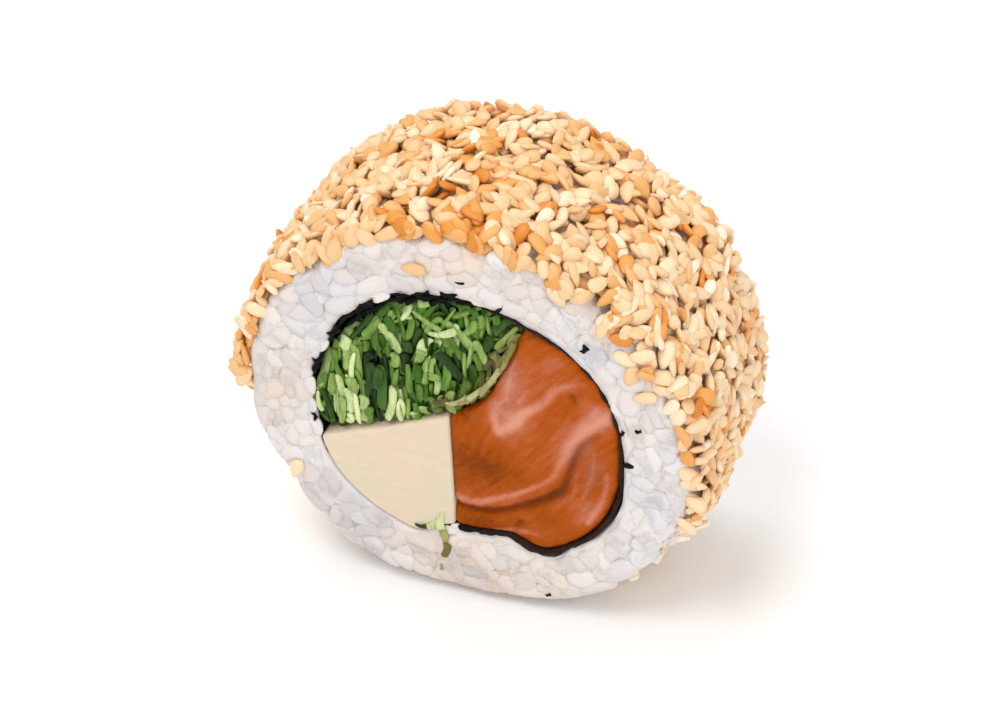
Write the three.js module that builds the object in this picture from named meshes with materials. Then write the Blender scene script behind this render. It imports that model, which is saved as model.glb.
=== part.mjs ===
// One cut piece of an inside-out sushi roll, standing on its curved side.
//
// A thick ring of rice, coated with sesame seeds, goes round a sheet of nori. The nori
// holds three fillings that run through the piece: shredded greens, cream cheese and
// salmon. The roll's axis lies along Y, the two cut faces look along -Y and +Y, and
// +Z is up. The origin is on the ground under the middle of the piece. Millimetres.
//
// A section of the roll is drawn with x to the right and y up, around the roll's axis.
// Angles are in degrees, counted anticlockwise from the right as seen from -Y.

import * as THREE from 'three';
import { ParametricGeometry } from 'three/addons/geometries/ParametricGeometry.js';
import { mergeVertices } from 'three/addons/utils/BufferGeometryUtils.js';

// ---- Driving dimensions ----

const LENGTH = 21; // from cut to cut
const COAT_RADIUS = 22.4; // of the rice with its coat of seeds, at the cuts
const BARREL = 0.5; // by which the coat swells half way along
const AXIS_HEIGHT = 21.3; // of the roll's axis over the flat spot it rests on
const EDGE_ROUND = 2.2; // of the rice at the cuts
const FILLING_RADIUS = 15.1; // of the fillings together
const NORI_THICKNESS = 0.5;
const GAP = 0.3; // between pieces that touch

// Soft bulges and dents of a round outline. Each is centred at an angle, reaches about
// its half width to either side, and a steeper one has a flatter top.
const COAT_BULGES = [
  { at: 174, half: 34, by: 0.6, steep: 2 }, // the left shoulder
  { at: 345, half: 26, by: 0.5, steep: 2 }, // low on the right
  { at: 232, half: 14, by: 0.6, steep: 2 }, // the rice settles either side of the foot
  { at: 306, half: 14, by: 0.6, steep: 2 },
  { at: 62, half: 20, by: -0.4, steep: 2 },
];
const FILLING_BULGES = [
  { at: 274, half: 21, by: -2.6, steep: 6 }, // rice pushes up between cheese and salmon
  { at: 214, half: 24, by: 0.6, steep: 2 }, // the cheese's round side
  { at: 322, half: 24, by: 0.6, steep: 2 }, // the salmon's belly
  { at: 66, half: 22, by: -0.6, steep: 2 },
  { at: 118, half: 40, by: -0.9, steep: 4 }, // the greens give under the doubled nori
];

// Lumps of the rice: waves round the roll, with waves along it.
const LUMPS = [
  { height: 0.16, round: 9, along: 0.21, shift: 0.4 },
  { height: 0.13, round: 14, along: -0.33, shift: 1.7 },
  { height: 0.1, round: 23, along: 0.52, shift: 2.9 },
];
// The cut faces stand in and out by waves round the roll that lean across the ring.
const CUT_LUMPS = [
  { height: 0.2, round: 11, across: 5 },
  { height: 0.14, round: 19, across: -7 },
];

// The nori sheet: its inner end, its wrap past a full turn, and how its outer end lifts.
const NORI_START = 138;
const NORI_WRAP = 62;
const NORI_STEP_OVER = 16; // the angle over which it climbs onto its own start
const NORI_LIFT = 1.7;
const NORI_LIFT_WITHIN = 9; // the angle over which the outer end lifts
const NORI_BACK_FROM_CUT = 0.15;

// Where the fillings meet: one point, and a soft line from it to the rim for each pair.
const MEETING = new THREE.Vector2(-1.6, 0.9);
const CHEESE_GREENS = { rim: 197, through: [[-8, -1.9]] };
const CHEESE_SALMON = { rim: 263, through: [[-1.5, -5]] };
const SALMON_GREENS = { rim: 64, through: [[2, 3.5], [4.2, 8]] };

// How each filling ends at the cuts: how far back it lies, how its middle swells out,
// and the height of its unevenness.
const CHEESE_END = { back: 0.15, swell: 0.15, uneven: 0 };
const SALMON_END = { back: 0.1, swell: 0.5, uneven: 0.1 };
const GREENS_END = { back: 0.7, swell: 0.5, uneven: 0.35 };
const UNEVEN_WAVE = 1.9; // radians for each millimetre across

// Facets
const RING_STEPS = 80;
const NORI_STEP_ANGLE = 4;
const FILLING_STEPS = 44;
const CUT_RINGS = 3;

// ---- Outlines of the section ----

const radians = THREE.MathUtils.degToRad;

function turnsApart(angle, other) {
  return THREE.MathUtils.euclideanModulo(angle - other + 180, 360) - 180;
}

function bulged(radius, bulges, angle) {
  let sum = radius;
  for (const { at, half, by, steep } of bulges) {
    sum += by * Math.exp(-(Math.abs(turnsApart(angle, at) / half) ** steep));
  }
  return sum;
}

function fillingRadius(angle) {
  return bulged(FILLING_RADIUS, FILLING_BULGES, angle);
}

function around(angle, radius) {
  return new THREE.Vector2(Math.cos(radians(angle)), Math.sin(radians(angle))).multiplyScalar(radius);
}

// The middle of the nori after it has turned by so many degrees from its inner end. The
// sheet is wound clockwise.
function noriRadius(turned) {
  const layer = fillingRadius(NORI_START - turned) + GAP / 2 + NORI_THICKNESS / 2;
  const stepOver = THREE.MathUtils.smoothstep(turned, 360 - NORI_STEP_OVER, 360);
  const lift = THREE.MathUtils.smoothstep(turned, 360 + NORI_WRAP - NORI_LIFT_WITHIN, 360 + NORI_WRAP);
  return layer + stepOver * (NORI_THICKNESS + GAP) + lift * NORI_LIFT;
}

// The hole in the rice, which clears the nori's outermost layer.
function holeRadius(angle) {
  const turned = THREE.MathUtils.euclideanModulo(NORI_START - angle, 360);
  const onTop = turned < NORI_WRAP + 1 ? Math.min(turned + 360, 360 + NORI_WRAP) : turned;
  return noriRadius(onTop) + NORI_THICKNESS / 2 + GAP;
}

function lumps(angle, y) {
  let sum = 0;
  for (const { height, round, along, shift } of LUMPS) {
    sum += height * Math.sin(round * radians(angle) + along * y + shift);
  }
  return sum;
}

// How far a cut face stands out, from the hole (share 0) across to the coat (share 1).
function cutLumps(angle, share) {
  let sum = 0;
  for (const { height, round, across } of CUT_LUMPS) {
    sum += height * Math.sin(round * radians(angle) + across * share);
  }
  return sum * 4 * share * (1 - share);
}

function coatRadius(angle, y) {
  const swell = BARREL * (1 - (2 * y / LENGTH) ** 2);
  return bulged(COAT_RADIUS, COAT_BULGES, angle) + swell + lumps(angle, y);
}

// ---- Solids ----

// A closed geometry, made from one whose seams and poles have vertices in the same place.
function sealed(geometry) {
  geometry.deleteAttribute('normal');
  geometry.deleteAttribute('uv');
  const merged = mergeVertices(geometry, 1e-4);
  const corners = merged.index.array;
  const kept = [];
  for (let i = 0; i < corners.length; i += 3) {
    const [a, b, c] = corners.slice(i, i + 3);
    if (a !== b && b !== c && c !== a) kept.push(a, b, c);
  }
  merged.setIndex(kept);
  merged.computeVertexNormals();
  return merged;
}

function stepsBetween(from, to, count) {
  return Array.from({ length: count }, (_, i) => from.clone().lerp(to, i / count));
}

function roundCorner(from, corner, to, count) {
  return new THREE.QuadraticBezierCurve(from, corner, to).getPoints(count).slice(0, -1);
}

// The ring's section before it is made uneven: x is the radius and y runs along the roll.
function ringProfile(hole, coat) {
  const half = LENGTH / 2;
  const flat = half - EDGE_ROUND;
  const point = (x, y) => new THREE.Vector2(x, y);
  const backHole = point(hole, half);
  const frontHole = point(hole, -half);
  return [
    ...stepsBetween(frontHole, point(coat - EDGE_ROUND, -half), 3),
    ...roundCorner(point(coat - EDGE_ROUND, -half), point(coat, -half), point(coat, -flat), 3),
    ...stepsBetween(point(coat, -flat), point(coat, flat), 7),
    ...roundCorner(point(coat, flat), point(coat, half), point(coat - EDGE_ROUND, half), 3),
    ...stepsBetween(point(coat - EDGE_ROUND, half), backHole, 3),
    ...stepsBetween(backHole, frontHole, 3),
    frontHole,
  ];
}

// The lathe's even ring, made to follow the hole and the coat, with lumps on the cut
// faces. Below the ground it is pressed flat.
function riceGeometry() {
  const hole = FILLING_RADIUS + NORI_THICKNESS + GAP;
  const geometry = new THREE.LatheGeometry(ringProfile(hole, COAT_RADIUS), RING_STEPS);
  const places = geometry.attributes.position;
  for (let i = 0; i < places.count; i++) {
    const y = places.getY(i);
    const angle = THREE.MathUtils.radToDeg(Math.atan2(places.getZ(i), places.getX(i)));
    const share = (Math.hypot(places.getX(i), places.getZ(i)) - hole) / (COAT_RADIUS - hole);
    const radius = THREE.MathUtils.lerp(holeRadius(angle), coatRadius(angle, y), share);
    const { x, y: height } = around(angle, radius);
    const stand = cutLumps(angle, share) * (2 * y / LENGTH) ** 9;
    places.setXYZ(i, x, y + stand, Math.max(height, -AXIS_HEIGHT));
  }
  return sealed(geometry);
}

// The sheet's section is one long strip, drawn along its outer face and back along its
// inner face, and extruded from cut to cut.
function noriGeometry() {
  const end = 360 + NORI_WRAP;
  const steps = Math.round(end / NORI_STEP_ANGLE);
  const face = (side) => Array.from({ length: steps + 1 }, (_, i) => {
    const turned = end * i / steps;
    return around(NORI_START - turned, noriRadius(turned) + side * NORI_THICKNESS / 2);
  });
  const strip = new THREE.Shape([...face(1), ...face(-1).reverse()]);
  const depth = LENGTH - 2 * NORI_BACK_FROM_CUT;
  const geometry = new THREE.ExtrudeGeometry(strip, { depth, steps: 1, bevelEnabled: false });
  geometry.rotateX(Math.PI / 2);
  geometry.translate(0, depth / 2, 0);
  return sealed(geometry);
}

// The line between two fillings, from where all three meet out to the rim.
function partingLine({ rim, through }) {
  const middle = through.map(([x, y]) => new THREE.Vector2(x, y));
  return new THREE.SplineCurve([MEETING, ...middle, around(rim, fillingRadius(rim))]);
}

function rimLine(from, to, count) {
  const sweep = THREE.MathUtils.euclideanModulo(to - from, 360);
  return Array.from({ length: count }, (_, i) => {
    const angle = from + sweep * i / count;
    return around(angle, fillingRadius(angle));
  });
}

// A filling's outline: out along one parting line, round the rim and back along the
// other, drawn in on every side by half the gap.
function fillingOutline(first, last) {
  const third = Math.round(FILLING_STEPS / 4);
  const out = partingLine(first).getSpacedPoints(third).slice(0, -1);
  const back = partingLine(last).getSpacedPoints(third).reverse().slice(0, -1);
  const rim = rimLine(first.rim, last.rim, FILLING_STEPS - 2 * third);
  return drawnIn([...out, ...rim, ...back], GAP / 2);
}

// A loop with each point moved square to the loop's run there. It is drawn anticlockwise.
function drawnIn(loop, distance) {
  return loop.map((point, i) => {
    const before = loop[(i + loop.length - 1) % loop.length];
    const after = loop[(i + 1) % loop.length];
    const run = point.clone().sub(before).normalize().add(after.clone().sub(point).normalize());
    const half = run.length() / 2;
    return new THREE.Vector2(-run.y, run.x).normalize().multiplyScalar(distance / half).add(point);
  });
}

function middleOf(loop) {
  const sum = loop.reduce((total, point) => total.add(point), new THREE.Vector2());
  return sum.divideScalar(loop.length);
}

// How far out a filling's cut end stands, from its middle (share 0) to its edge (share 1).
function endHeight({ back, swell, uneven }, point, share) {
  const wave = Math.sin(UNEVEN_WAVE * point.x) + Math.sin(UNEVEN_WAVE * point.y + 1);
  return LENGTH / 2 - back - swell * share ** 4 + uneven * wave * (1 - share ** 2);
}

// A plug with the given outline: rows of points go from the middle of the back cut to its
// edge, along the side, and in over the front cut to its middle.
function fillingGeometry(outline, end) {
  const middle = middleOf(outline);
  const rows = 2 * CUT_RINGS + 1;
  return sealed(new ParametricGeometry((u, v, place) => {
    const row = Math.round(v * rows);
    const onBack = row <= CUT_RINGS;
    const share = (onBack ? row : rows - row) / CUT_RINGS;
    const rim = outline[Math.round(u * outline.length) % outline.length];
    const point = middle.clone().lerp(rim, share);
    const stand = endHeight(end, point, share);
    place.set(point.x, onBack ? stand : -stand, point.y);
  }, outline.length, rows));
}

// ---- The roll ----

function food(name, geometry, color, roughness) {
  const material = new THREE.MeshStandardMaterial({ color, roughness, metalness: 0 });
  const mesh = new THREE.Mesh(geometry, material);
  mesh.name = name;
  return mesh;
}

const cheeseOutline = fillingOutline(CHEESE_GREENS, CHEESE_SALMON);
const salmonOutline = fillingOutline(CHEESE_SALMON, SALMON_GREENS);
const greensOutline = fillingOutline(SALMON_GREENS, CHEESE_GREENS);

const roll = new THREE.Group();
roll.add(food('rice', riceGeometry(), 0xe9dfd2, 0.55));
roll.add(food('nori', noriGeometry(), 0x161a14, 0.6));
roll.add(food('greens', fillingGeometry(greensOutline, GREENS_END), 0x4f7a2c, 0.5));
roll.add(food('cream_cheese', fillingGeometry(cheeseOutline, CHEESE_END), 0xefe2c6, 0.45));
roll.add(food('salmon', fillingGeometry(salmonOutline, SALMON_END), 0xc05a22, 0.35));

// The outline is uneven, so the group is moved until its box stands over the origin.
const box = new THREE.Box3().setFromObject(roll);
const centre = box.getCenter(new THREE.Vector3());
roll.position.set(-centre.x, -centre.y, -box.min.z);

export default roll;
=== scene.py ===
# The looks of one cut piece of an inside-out salmon roll, standing on its curved side.
#
# The frame's solids are replaced by what the real piece is made of: grains of rice over
# a smaller core, sesame seeds pressed into the rice, a crinkled nori sheet, a bundle of
# green shreds, a block of soft cheese and a strip of salmon.
#
# Sizes are millimetres round the roll's axis: x to the right, y along the roll and z up.
# Angles are degrees anticlockwise from the right, as seen from -Y.

import math

import bmesh
import bpy
import numpy as np
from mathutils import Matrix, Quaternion, Vector


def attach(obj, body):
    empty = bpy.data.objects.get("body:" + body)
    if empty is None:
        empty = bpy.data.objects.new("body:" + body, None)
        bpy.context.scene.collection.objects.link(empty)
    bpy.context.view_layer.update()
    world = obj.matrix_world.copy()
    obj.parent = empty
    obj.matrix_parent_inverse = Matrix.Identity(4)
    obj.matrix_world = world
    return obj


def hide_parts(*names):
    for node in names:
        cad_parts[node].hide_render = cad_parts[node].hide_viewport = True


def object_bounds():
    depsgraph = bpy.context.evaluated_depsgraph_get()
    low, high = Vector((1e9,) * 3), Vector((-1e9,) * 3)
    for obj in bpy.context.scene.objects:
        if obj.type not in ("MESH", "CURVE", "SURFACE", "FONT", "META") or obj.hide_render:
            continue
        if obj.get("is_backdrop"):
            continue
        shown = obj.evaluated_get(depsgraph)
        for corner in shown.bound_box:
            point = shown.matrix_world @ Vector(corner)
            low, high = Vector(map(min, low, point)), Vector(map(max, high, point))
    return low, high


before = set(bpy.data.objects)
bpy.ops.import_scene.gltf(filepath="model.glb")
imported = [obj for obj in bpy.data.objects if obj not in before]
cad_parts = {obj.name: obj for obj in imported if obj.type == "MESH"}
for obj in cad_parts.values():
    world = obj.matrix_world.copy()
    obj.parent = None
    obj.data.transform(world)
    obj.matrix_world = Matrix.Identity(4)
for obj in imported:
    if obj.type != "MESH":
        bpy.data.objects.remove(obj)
cad_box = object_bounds()

MM = 0.001

# ---- The roll, as the frame has it ----

LENGTH = 21
HALF = LENGTH / 2
COAT_RADIUS = 22.4
GIRTH = 2 * math.pi * COAT_RADIUS
BARREL = 0.5  # by which the middle of the side stands out
AXIS_HEIGHT = 21.3
AXIS_X = 0.12  # the box of the uneven outline stands over the origin, and so the axis doesn't
EDGE_ROUND = 2.2
FLAT_HALF = HALF - EDGE_ROUND
FILLING_RADIUS = 15.1

# Soft bulges and dents of a round outline: the angle, the half width, how far, how steep.
COAT_BULGES = [
    (174, 34, 0.6, 2), (345, 26, 0.5, 2), (232, 14, 0.6, 2), (306, 14, 0.6, 2), (62, 20, -0.4, 2),
]
FILLING_BULGES = [
    (274, 21, -2.6, 6), (214, 24, 0.6, 2), (322, 24, 0.6, 2), (66, 22, -0.6, 2),
    (118, 40, -0.9, 4),
]

# Lumps of the rice: the height, waves round the roll, radians for a millimetre along it, shift.
LUMPS = [(0.16, 9, 0.21, 0.4), (0.13, 14, -0.33, 1.7), (0.1, 23, 0.52, 2.9)]
# Lumps of the cut faces: the height, waves round the roll, radians across the ring.
CUT_LUMPS = [(0.2, 11, 5), (0.14, 19, -7)]

NORI_START = 138  # the angle of its inner end, from which it winds clockwise
NORI_WRAP = 62  # degrees that it goes past a full turn
NORI_STEP_OVER = 16  # degrees in which it climbs onto its inner end
NORI_LIFT = 1.5  # by which its outer end stands off, within the next number of degrees
NORI_LIFT_WITHIN = 9
NORI_LAYERS_APART = 0.05
RICE_OFF_NORI = 0.06

MEETING = (-1.6, 0.9)  # where the three fillings meet
# The lines that part them: the angle of the end on the rim, and places on the way there.
CHEESE_GREENS = (197, [(-8, -1.9)])
CHEESE_SALMON = (263, [(-1.5, -5)])
SALMON_GREENS = (64, [(2, 3.5), (4.2, 8)])

# ---- What only the looks have ----

PRESSED = -0.04  # by which fillings that press on each other are drawn in
CORNER_EASE = 5  # rounds of easing of a filling's corners
INNER_EASE = 20  # and of the loop inside its rounded edge
SEED_COAT = 0.9  # the depth of the seeds over the rice
CORE_BELOW_CUT = 0.28
CORE_BELOW_SIDE = 0.4
NORI_THIN = 0.34
NORI_PLACES = [
    (131, 26, 0.26, 6),  # thick and black over the greens
    (332, 16, 0.4, 4),  # and beside the salmon's belly
    (299, 9, 0.55, 4),
    (230, 34, -0.14, 4),  # thin round the cheese
    (38, 42, -0.1, 4),  # and over the salmon
    (187, 11, -0.2, 4),  # and at the tip of the greens
]
# How far its cut edge hides behind the rice and the cheese.
NORI_BACK = [
    (230, 30, 0.75, 6), (187, 11, 0.9, 4), (174, 4, 0.8, 4), (155, 3, 0.9, 4), (120, 3, 0.8, 4),
    (84, 8, 0.3, 4), (30, 22, 0.25, 4),
]
NORI_TORN = [(128, 42, 1.0, 6)]  # where its edge is ragged
NORI_BROWN = [(36, 44, 0.9, 4), (306, 36, 0.8, 4)]  # where it is thin or wet, and brown


def turns_apart(angle, other):
    return (angle - other + 180) % 360 - 180


def bulged(radius, bulges, angle):
    """A radius, or any other value, with its bulges and dents at an angle."""
    total = radius + 0 * angle
    for at, half, by, steep in bulges:
        total = total + by * np.exp(-np.abs(turns_apart(angle, at) / half) ** steep)
    return total


def smooth_step(value, low, high):
    share = np.clip((value - low) / (high - low), 0, 1)
    return share * share * (3 - 2 * share)


def filling_radius(angle):
    return bulged(FILLING_RADIUS, FILLING_BULGES, angle)


def nori_thickness(angle):
    return bulged(NORI_THIN, NORI_PLACES, angle)


def nori_radius(turned):
    """The middle of the nori after it has turned by so many degrees from its inner end."""
    angle = NORI_START - turned
    thickness = nori_thickness(angle)
    step_over = smooth_step(turned, 360 - NORI_STEP_OVER, 360)
    lift = smooth_step(turned, 360 + NORI_WRAP - NORI_LIFT_WITHIN, 360 + NORI_WRAP)
    on_top = step_over * (thickness + NORI_LAYERS_APART)
    return filling_radius(angle) + thickness / 2 + on_top + lift * NORI_LIFT


def hole_radius(angle):
    """The inside of the rice, over the outermost layer of the nori."""
    turned = (NORI_START - angle) % 360
    outermost = np.where(turned < NORI_WRAP - NORI_LIFT_WITHIN, turned + 360, turned)
    return nori_radius(outermost) + nori_thickness(angle) / 2 + RICE_OFF_NORI


def coat_radius(angle, y):
    """The outside of the seeds: a lumpy barrel."""
    total = bulged(COAT_RADIUS, COAT_BULGES, angle) + BARREL * (1 - (2 * y / LENGTH) ** 2)
    for height, waves, along, shift in LUMPS:
        total = total + height * np.sin(waves * np.radians(angle) + along * y + shift)
    return total


def cut_lumps(angle, share):
    """How far a cut is uneven, at a share of the way from the hole to the coat."""
    total = 0
    for height, waves, across in CUT_LUMPS:
        total = total + height * np.sin(waves * np.radians(angle) + across * share)
    return total * 4 * share * (1 - share)


def around(angle, radius):
    """Places in the section, as x and z."""
    return np.stack([np.cos(np.radians(angle)) * radius, np.sin(np.radians(angle)) * radius], -1)


def polar(x, z):
    """The angle and radius of places in the section."""
    return np.degrees(np.arctan2(z, x)) % 360, np.hypot(x, z)


SPAN_STEPS = 24  # places on a soft curve between two of the points that it goes through


def evenly(line, count, to_the_end=True):
    """Places at even distances along a line."""
    run = np.concatenate([[0], np.cumsum(np.linalg.norm(np.diff(line, axis=0), axis=1))])
    even = np.linspace(0, run[-1], count, endpoint=to_the_end)
    return np.stack([np.interp(even, run, column) for column in line.T], -1)


def smooth_line(points, count):
    """Evenly spaced places on a soft curve through some points."""
    points = np.array(points, float)
    padded = np.vstack([points[:1], points, points[-1:]])
    spans = []
    for i in range(len(points) - 1):
        before, first, second, after = padded[i:i + 4]
        t = np.linspace(0, 1, SPAN_STEPS, endpoint=False)[:, None]
        rise = (second - before) / 2
        fall = (after - second + second - first) / 2
        cubic = (2 * first - 2 * second + rise + fall) * t ** 3
        spans.append(cubic + (-3 * first + 3 * second - 2 * rise - fall) * t ** 2 + rise * t + first)
    return evenly(np.vstack(spans + [points[-1:]]), count)


def parting_line(parting, count):
    """The line between two fillings, from where all three meet out to the rim."""
    rim, through = parting
    return smooth_line([MEETING, *through, around(rim, filling_radius(rim))], count)


def drawn_in(loop, distance):
    """An anticlockwise loop with each point moved square to the loop's run there."""
    run = np.roll(loop, -1, 0) - np.roll(loop, 1, 0)
    run = run / np.linalg.norm(run, axis=1, keepdims=True)
    return loop + distance * np.stack([-run[:, 1], run[:, 0]], -1)


def evened(loop, count):
    """A closed loop with its points at even distances."""
    return evenly(np.vstack([loop, loop[:1]]), count, to_the_end=False)


def eased(loop, times):
    """A loop with its corners rounded off, so that it can be drawn in without folding."""
    for _ in range(times):
        loop = (np.roll(loop, 1, 0) + 2 * loop + np.roll(loop, -1, 0)) / 4
    return evened(loop, len(loop))


def filling_outline(first, last, count):
    """Out along one parting line, round the rim and back along the other."""
    out = parting_line(first, count)[:-1]
    back = parting_line(last, count)[::-1][:-1]
    sweep = (last[0] - first[0]) % 360
    angles = first[0] + sweep * np.linspace(0, 1, count, endpoint=False)
    rim = around(angles, filling_radius(angles))
    loop = evened(np.vstack([out, rim, back]), count)
    return drawn_in(eased(loop, CORNER_EASE), PRESSED)


def reach_of(outline):
    """For a loop that is seen whole from its middle: its middle, and its reach at any angle."""
    middle = outline.mean(0)
    angle, radius = polar(*(outline - middle).T)
    order = np.argsort(angle)
    return middle, lambda turn: np.interp(turn, angle[order], radius[order], period=360)


WAVES = 4  # of each size


def unevenness(places, size, seed, octaves=3):
    """Smooth random waves of about -1 to 1 at some places, about so many millimetres long."""
    draw = np.random.default_rng(seed)
    places = np.asarray(places, float)
    total = np.zeros(places.shape[:-1])
    for octave in range(octaves):
        for _ in range(WAVES):
            way = draw.normal(size=places.shape[-1])
            way = way / np.linalg.norm(way) * 2 * math.pi / size * 2 ** octave
            total = total + np.sin(places @ way + draw.uniform(0, 2 * math.pi)) / 2 ** octave
    return total / WAVES


def tinted(x, z, start, places):
    """A value over the section that changes round some places: x, z, reaches in x and z, by."""
    total = start + 0 * x
    for at, up, wide, high, by in places:
        total = total + by * np.exp(-((x - at) / wide) ** 2 - ((z - up) / high) ** 2)
    return total


# ---- Meshes ----

def to_frame(places):
    return (np.asarray(places, float) + (AXIS_X, 0, AXIS_HEIGHT)) * MM


def from_frame(places):
    return np.asarray(places, float) / MM - (AXIS_X, 0, AXIS_HEIGHT)


def shown(name, data):
    """An object of the scene for a mesh, a camera or a light."""
    made = bpy.data.objects.new(name, data)
    bpy.context.scene.collection.objects.link(made)
    return made


def store(mesh, **attributes):
    for key, values in attributes.items():
        values = np.asarray(values)
        if values.ndim == 2:
            made = mesh.attributes.new(key, "FLOAT_VECTOR", "POINT")
            made.data.foreach_set("vector", values.astype(np.float32).ravel())
        elif values.dtype.kind == "i":
            made = mesh.attributes.new(key, "INT", "POINT")
            made.data.foreach_set("value", values.astype(np.int32))
        else:
            made = mesh.attributes.new(key, "FLOAT", "POINT")
            made.data.foreach_set("value", values.astype(np.float32))


def closed_mesh(name, places, faces, **attributes):
    """A smooth closed mesh whose faces point outwards."""
    mesh = bpy.data.meshes.new(name)
    mesh.from_pydata(np.asarray(places).tolist(), [], faces)
    work = bmesh.new()
    work.from_mesh(mesh)
    bmesh.ops.recalc_face_normals(work, faces=work.faces)
    work.to_mesh(mesh)
    work.free()
    mesh.shade_smooth()
    store(mesh, **attributes)
    return mesh


def band_faces(rows, columns, closed_rows=False):
    """Quads over rows that are closed loops, and from the last row to the first if asked."""
    faces = []
    for row in range(rows if closed_rows else rows - 1):
        here = row * columns
        there = (row + 1) % rows * columns
        for i in range(columns):
            j = (i + 1) % columns
            faces.append((here + i, here + j, there + j, there + i))
    return faces


def capped(rows):
    """Places and faces over rows of loops, with a point in the middle of each end."""
    count, columns = rows.shape[:2]
    faces = band_faces(count, columns)
    first, last = count * columns, count * columns + 1
    base = (count - 1) * columns
    for i in range(columns):
        j = (i + 1) % columns
        faces.append((first, j, i))
        faces.append((last, base + i, base + j))
    places = np.vstack([rows.reshape(-1, 3), rows[0].mean(0), rows[-1].mean(0)])
    return places, faces


# ---- Node trees ----

def linear(code):
    """A colour written as #RRGGBB, in the linear values that materials take."""
    parts = [int(code[i:i + 2], 16) / 255 for i in (1, 3, 5)]
    values = [p / 12.92 if p <= 0.04045 else ((p + 0.055) / 1.055) ** 2.4 for p in parts]
    return (*values, 1.0)


def socket_of(sockets, key):
    if isinstance(key, int):
        return sockets[key]
    for socket in sockets:
        if socket.identifier == key:
            return socket
    return sockets[key]


def set_stops(ramp, stops):
    while len(ramp.elements) < len(stops):
        ramp.elements.new(1.0)
    for element, (at, color) in zip(ramp.elements, stops):
        element.position = at
        element.color = color


class Wire:
    """A socket of a node tree. Arithmetic on it adds Math nodes."""

    def __init__(self, work, socket):
        self.work = work
        self.socket = socket

    def math(self, operation, *values):
        return self.work.node("ShaderNodeMath", {"operation": operation}, dict(enumerate(values)))

    def __add__(self, other):
        return self.math("ADD", self, other)

    __radd__ = __add__

    def __sub__(self, other):
        return self.math("SUBTRACT", self, other)

    def __rsub__(self, other):
        return self.math("SUBTRACT", other, self)

    def __mul__(self, other):
        return self.math("MULTIPLY", self, other)

    __rmul__ = __mul__

    def between(self, low, high):
        """0 below the low value, 1 above the high one, and soft between them."""
        settings = {"interpolation_type": "SMOOTHSTEP"}
        return self.work.node("ShaderNodeMapRange", settings, {"Value": self, 1: low, 2: high})


class Work:
    """A node tree while it is made."""

    def __init__(self, tree):
        self.tree = tree

    def node(self, kind, settings=None, inputs=None, output=0):
        made = self.tree.nodes.new(kind)
        for key, value in (settings or {}).items():
            if key == "stops":
                set_stops(made.color_ramp, value)
            else:
                setattr(made, key, value)
        for key, value in (inputs or {}).items():
            self.feed(socket_of(made.inputs, key), value)
        return Wire(self, socket_of(made.outputs, output)) if made.outputs else None

    def feed(self, socket, value):
        if isinstance(value, Wire):
            self.tree.links.new(value.socket, socket)
        else:
            socket.default_value = value


class Finish(Work):
    """A material while it is made. Its places are in millimetres."""

    def __init__(self, name):
        self.material = bpy.data.materials.new(name)
        self.material.use_nodes = True
        super().__init__(self.material.node_tree)
        self.tree.nodes.clear()
        self.places = self.scaled(self.node("ShaderNodeTexCoord", output="Object"), (1 / MM,) * 3)

    def scaled(self, vector, by):
        return self.node("ShaderNodeVectorMath", {"operation": "MULTIPLY"}, {0: vector, 1: by})

    def attribute(self, name):
        return self.node("ShaderNodeAttribute", {"attribute_name": name}, output="Fac")

    def noise_at(self, vector, scale, detail=3.0, roughness=0.55):
        inputs = {"Vector": vector, "Scale": scale, "Detail": detail, "Roughness": roughness}
        return self.node("ShaderNodeTexNoise", {}, inputs, "Fac")

    def noise(self, per_mm, stretch=(1, 1, 1), **detail):
        return self.noise_at(self.scaled(self.places, stretch), per_mm, **detail)

    def ramp(self, value, *stops):
        stops = [(at, linear(code)) for at, code in stops]
        return self.node("ShaderNodeValToRGB", {"stops": stops}, {"Fac": value}, "Color")

    def mix(self, share, first, second, blend="MIX"):
        settings = {"data_type": "RGBA", "blend_type": blend, "clamp_factor": True}
        inputs = {"Factor_Float": share, "A_Color": first, "B_Color": second}
        return self.node("ShaderNodeMix", settings, inputs, "Result_Color")

    def bump(self, height, depth_mm):
        inputs = {"Height": height, "Distance": depth_mm * MM, "Strength": 1.0}
        return self.node("ShaderNodeBump", {}, inputs, "Normal")

    def done(self, **sockets):
        inputs = {key.replace("_", " "): value for key, value in sockets.items()}
        surface = self.node("ShaderNodeBsdfPrincipled", {}, inputs, "BSDF")
        self.node("ShaderNodeOutputMaterial", {}, {"Surface": surface})
        return self.material


# ---- Finishes ----

def translucent(weight, red, green, blue, depth_mm):
    """The sockets of flesh that lets light in: how much, how far each colour, how deep."""
    return {
        "Subsurface_Weight": weight,
        "Subsurface_Radius": (red, green, blue),
        "Subsurface_Scale": depth_mm * MM,
    }


def rice_color(work):
    """From cool white to warm by its warmth, and darker where its tone is low: at random and by
    painted shade.
    """
    hue = work.ramp(
        work.attribute("warm") + 0.3 * (work.noise(0.5, detail=2) - 0.5),
        (0.0, "#DEDDE4"), (0.35, "#E6E0DD"), (0.7, "#E8DBD1"), (1.0, "#EACFB9"),
    )
    shade = work.ramp(work.attribute("tone"), (0.0, "#D6D3D2"), (0.5, "#F1EFEE"), (1.0, "#FFFFFF"))
    return work.mix(1.0, hue, shade, "MULTIPLY")


def rice_finish():
    work = Finish("moist_rice")
    fine = work.noise(1.4, detail=3)
    grain = work.noise(3.5, detail=4)
    return work.done(
        Base_Color=rice_color(work),
        Specular_IOR_Level=0.35,
        Roughness=0.42 + 0.16 * fine,
        Normal=work.bump(grain + fine, 0.04),
        **translucent(0.2, 1.0, 0.85, 0.75, 0.25),
    )


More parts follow.
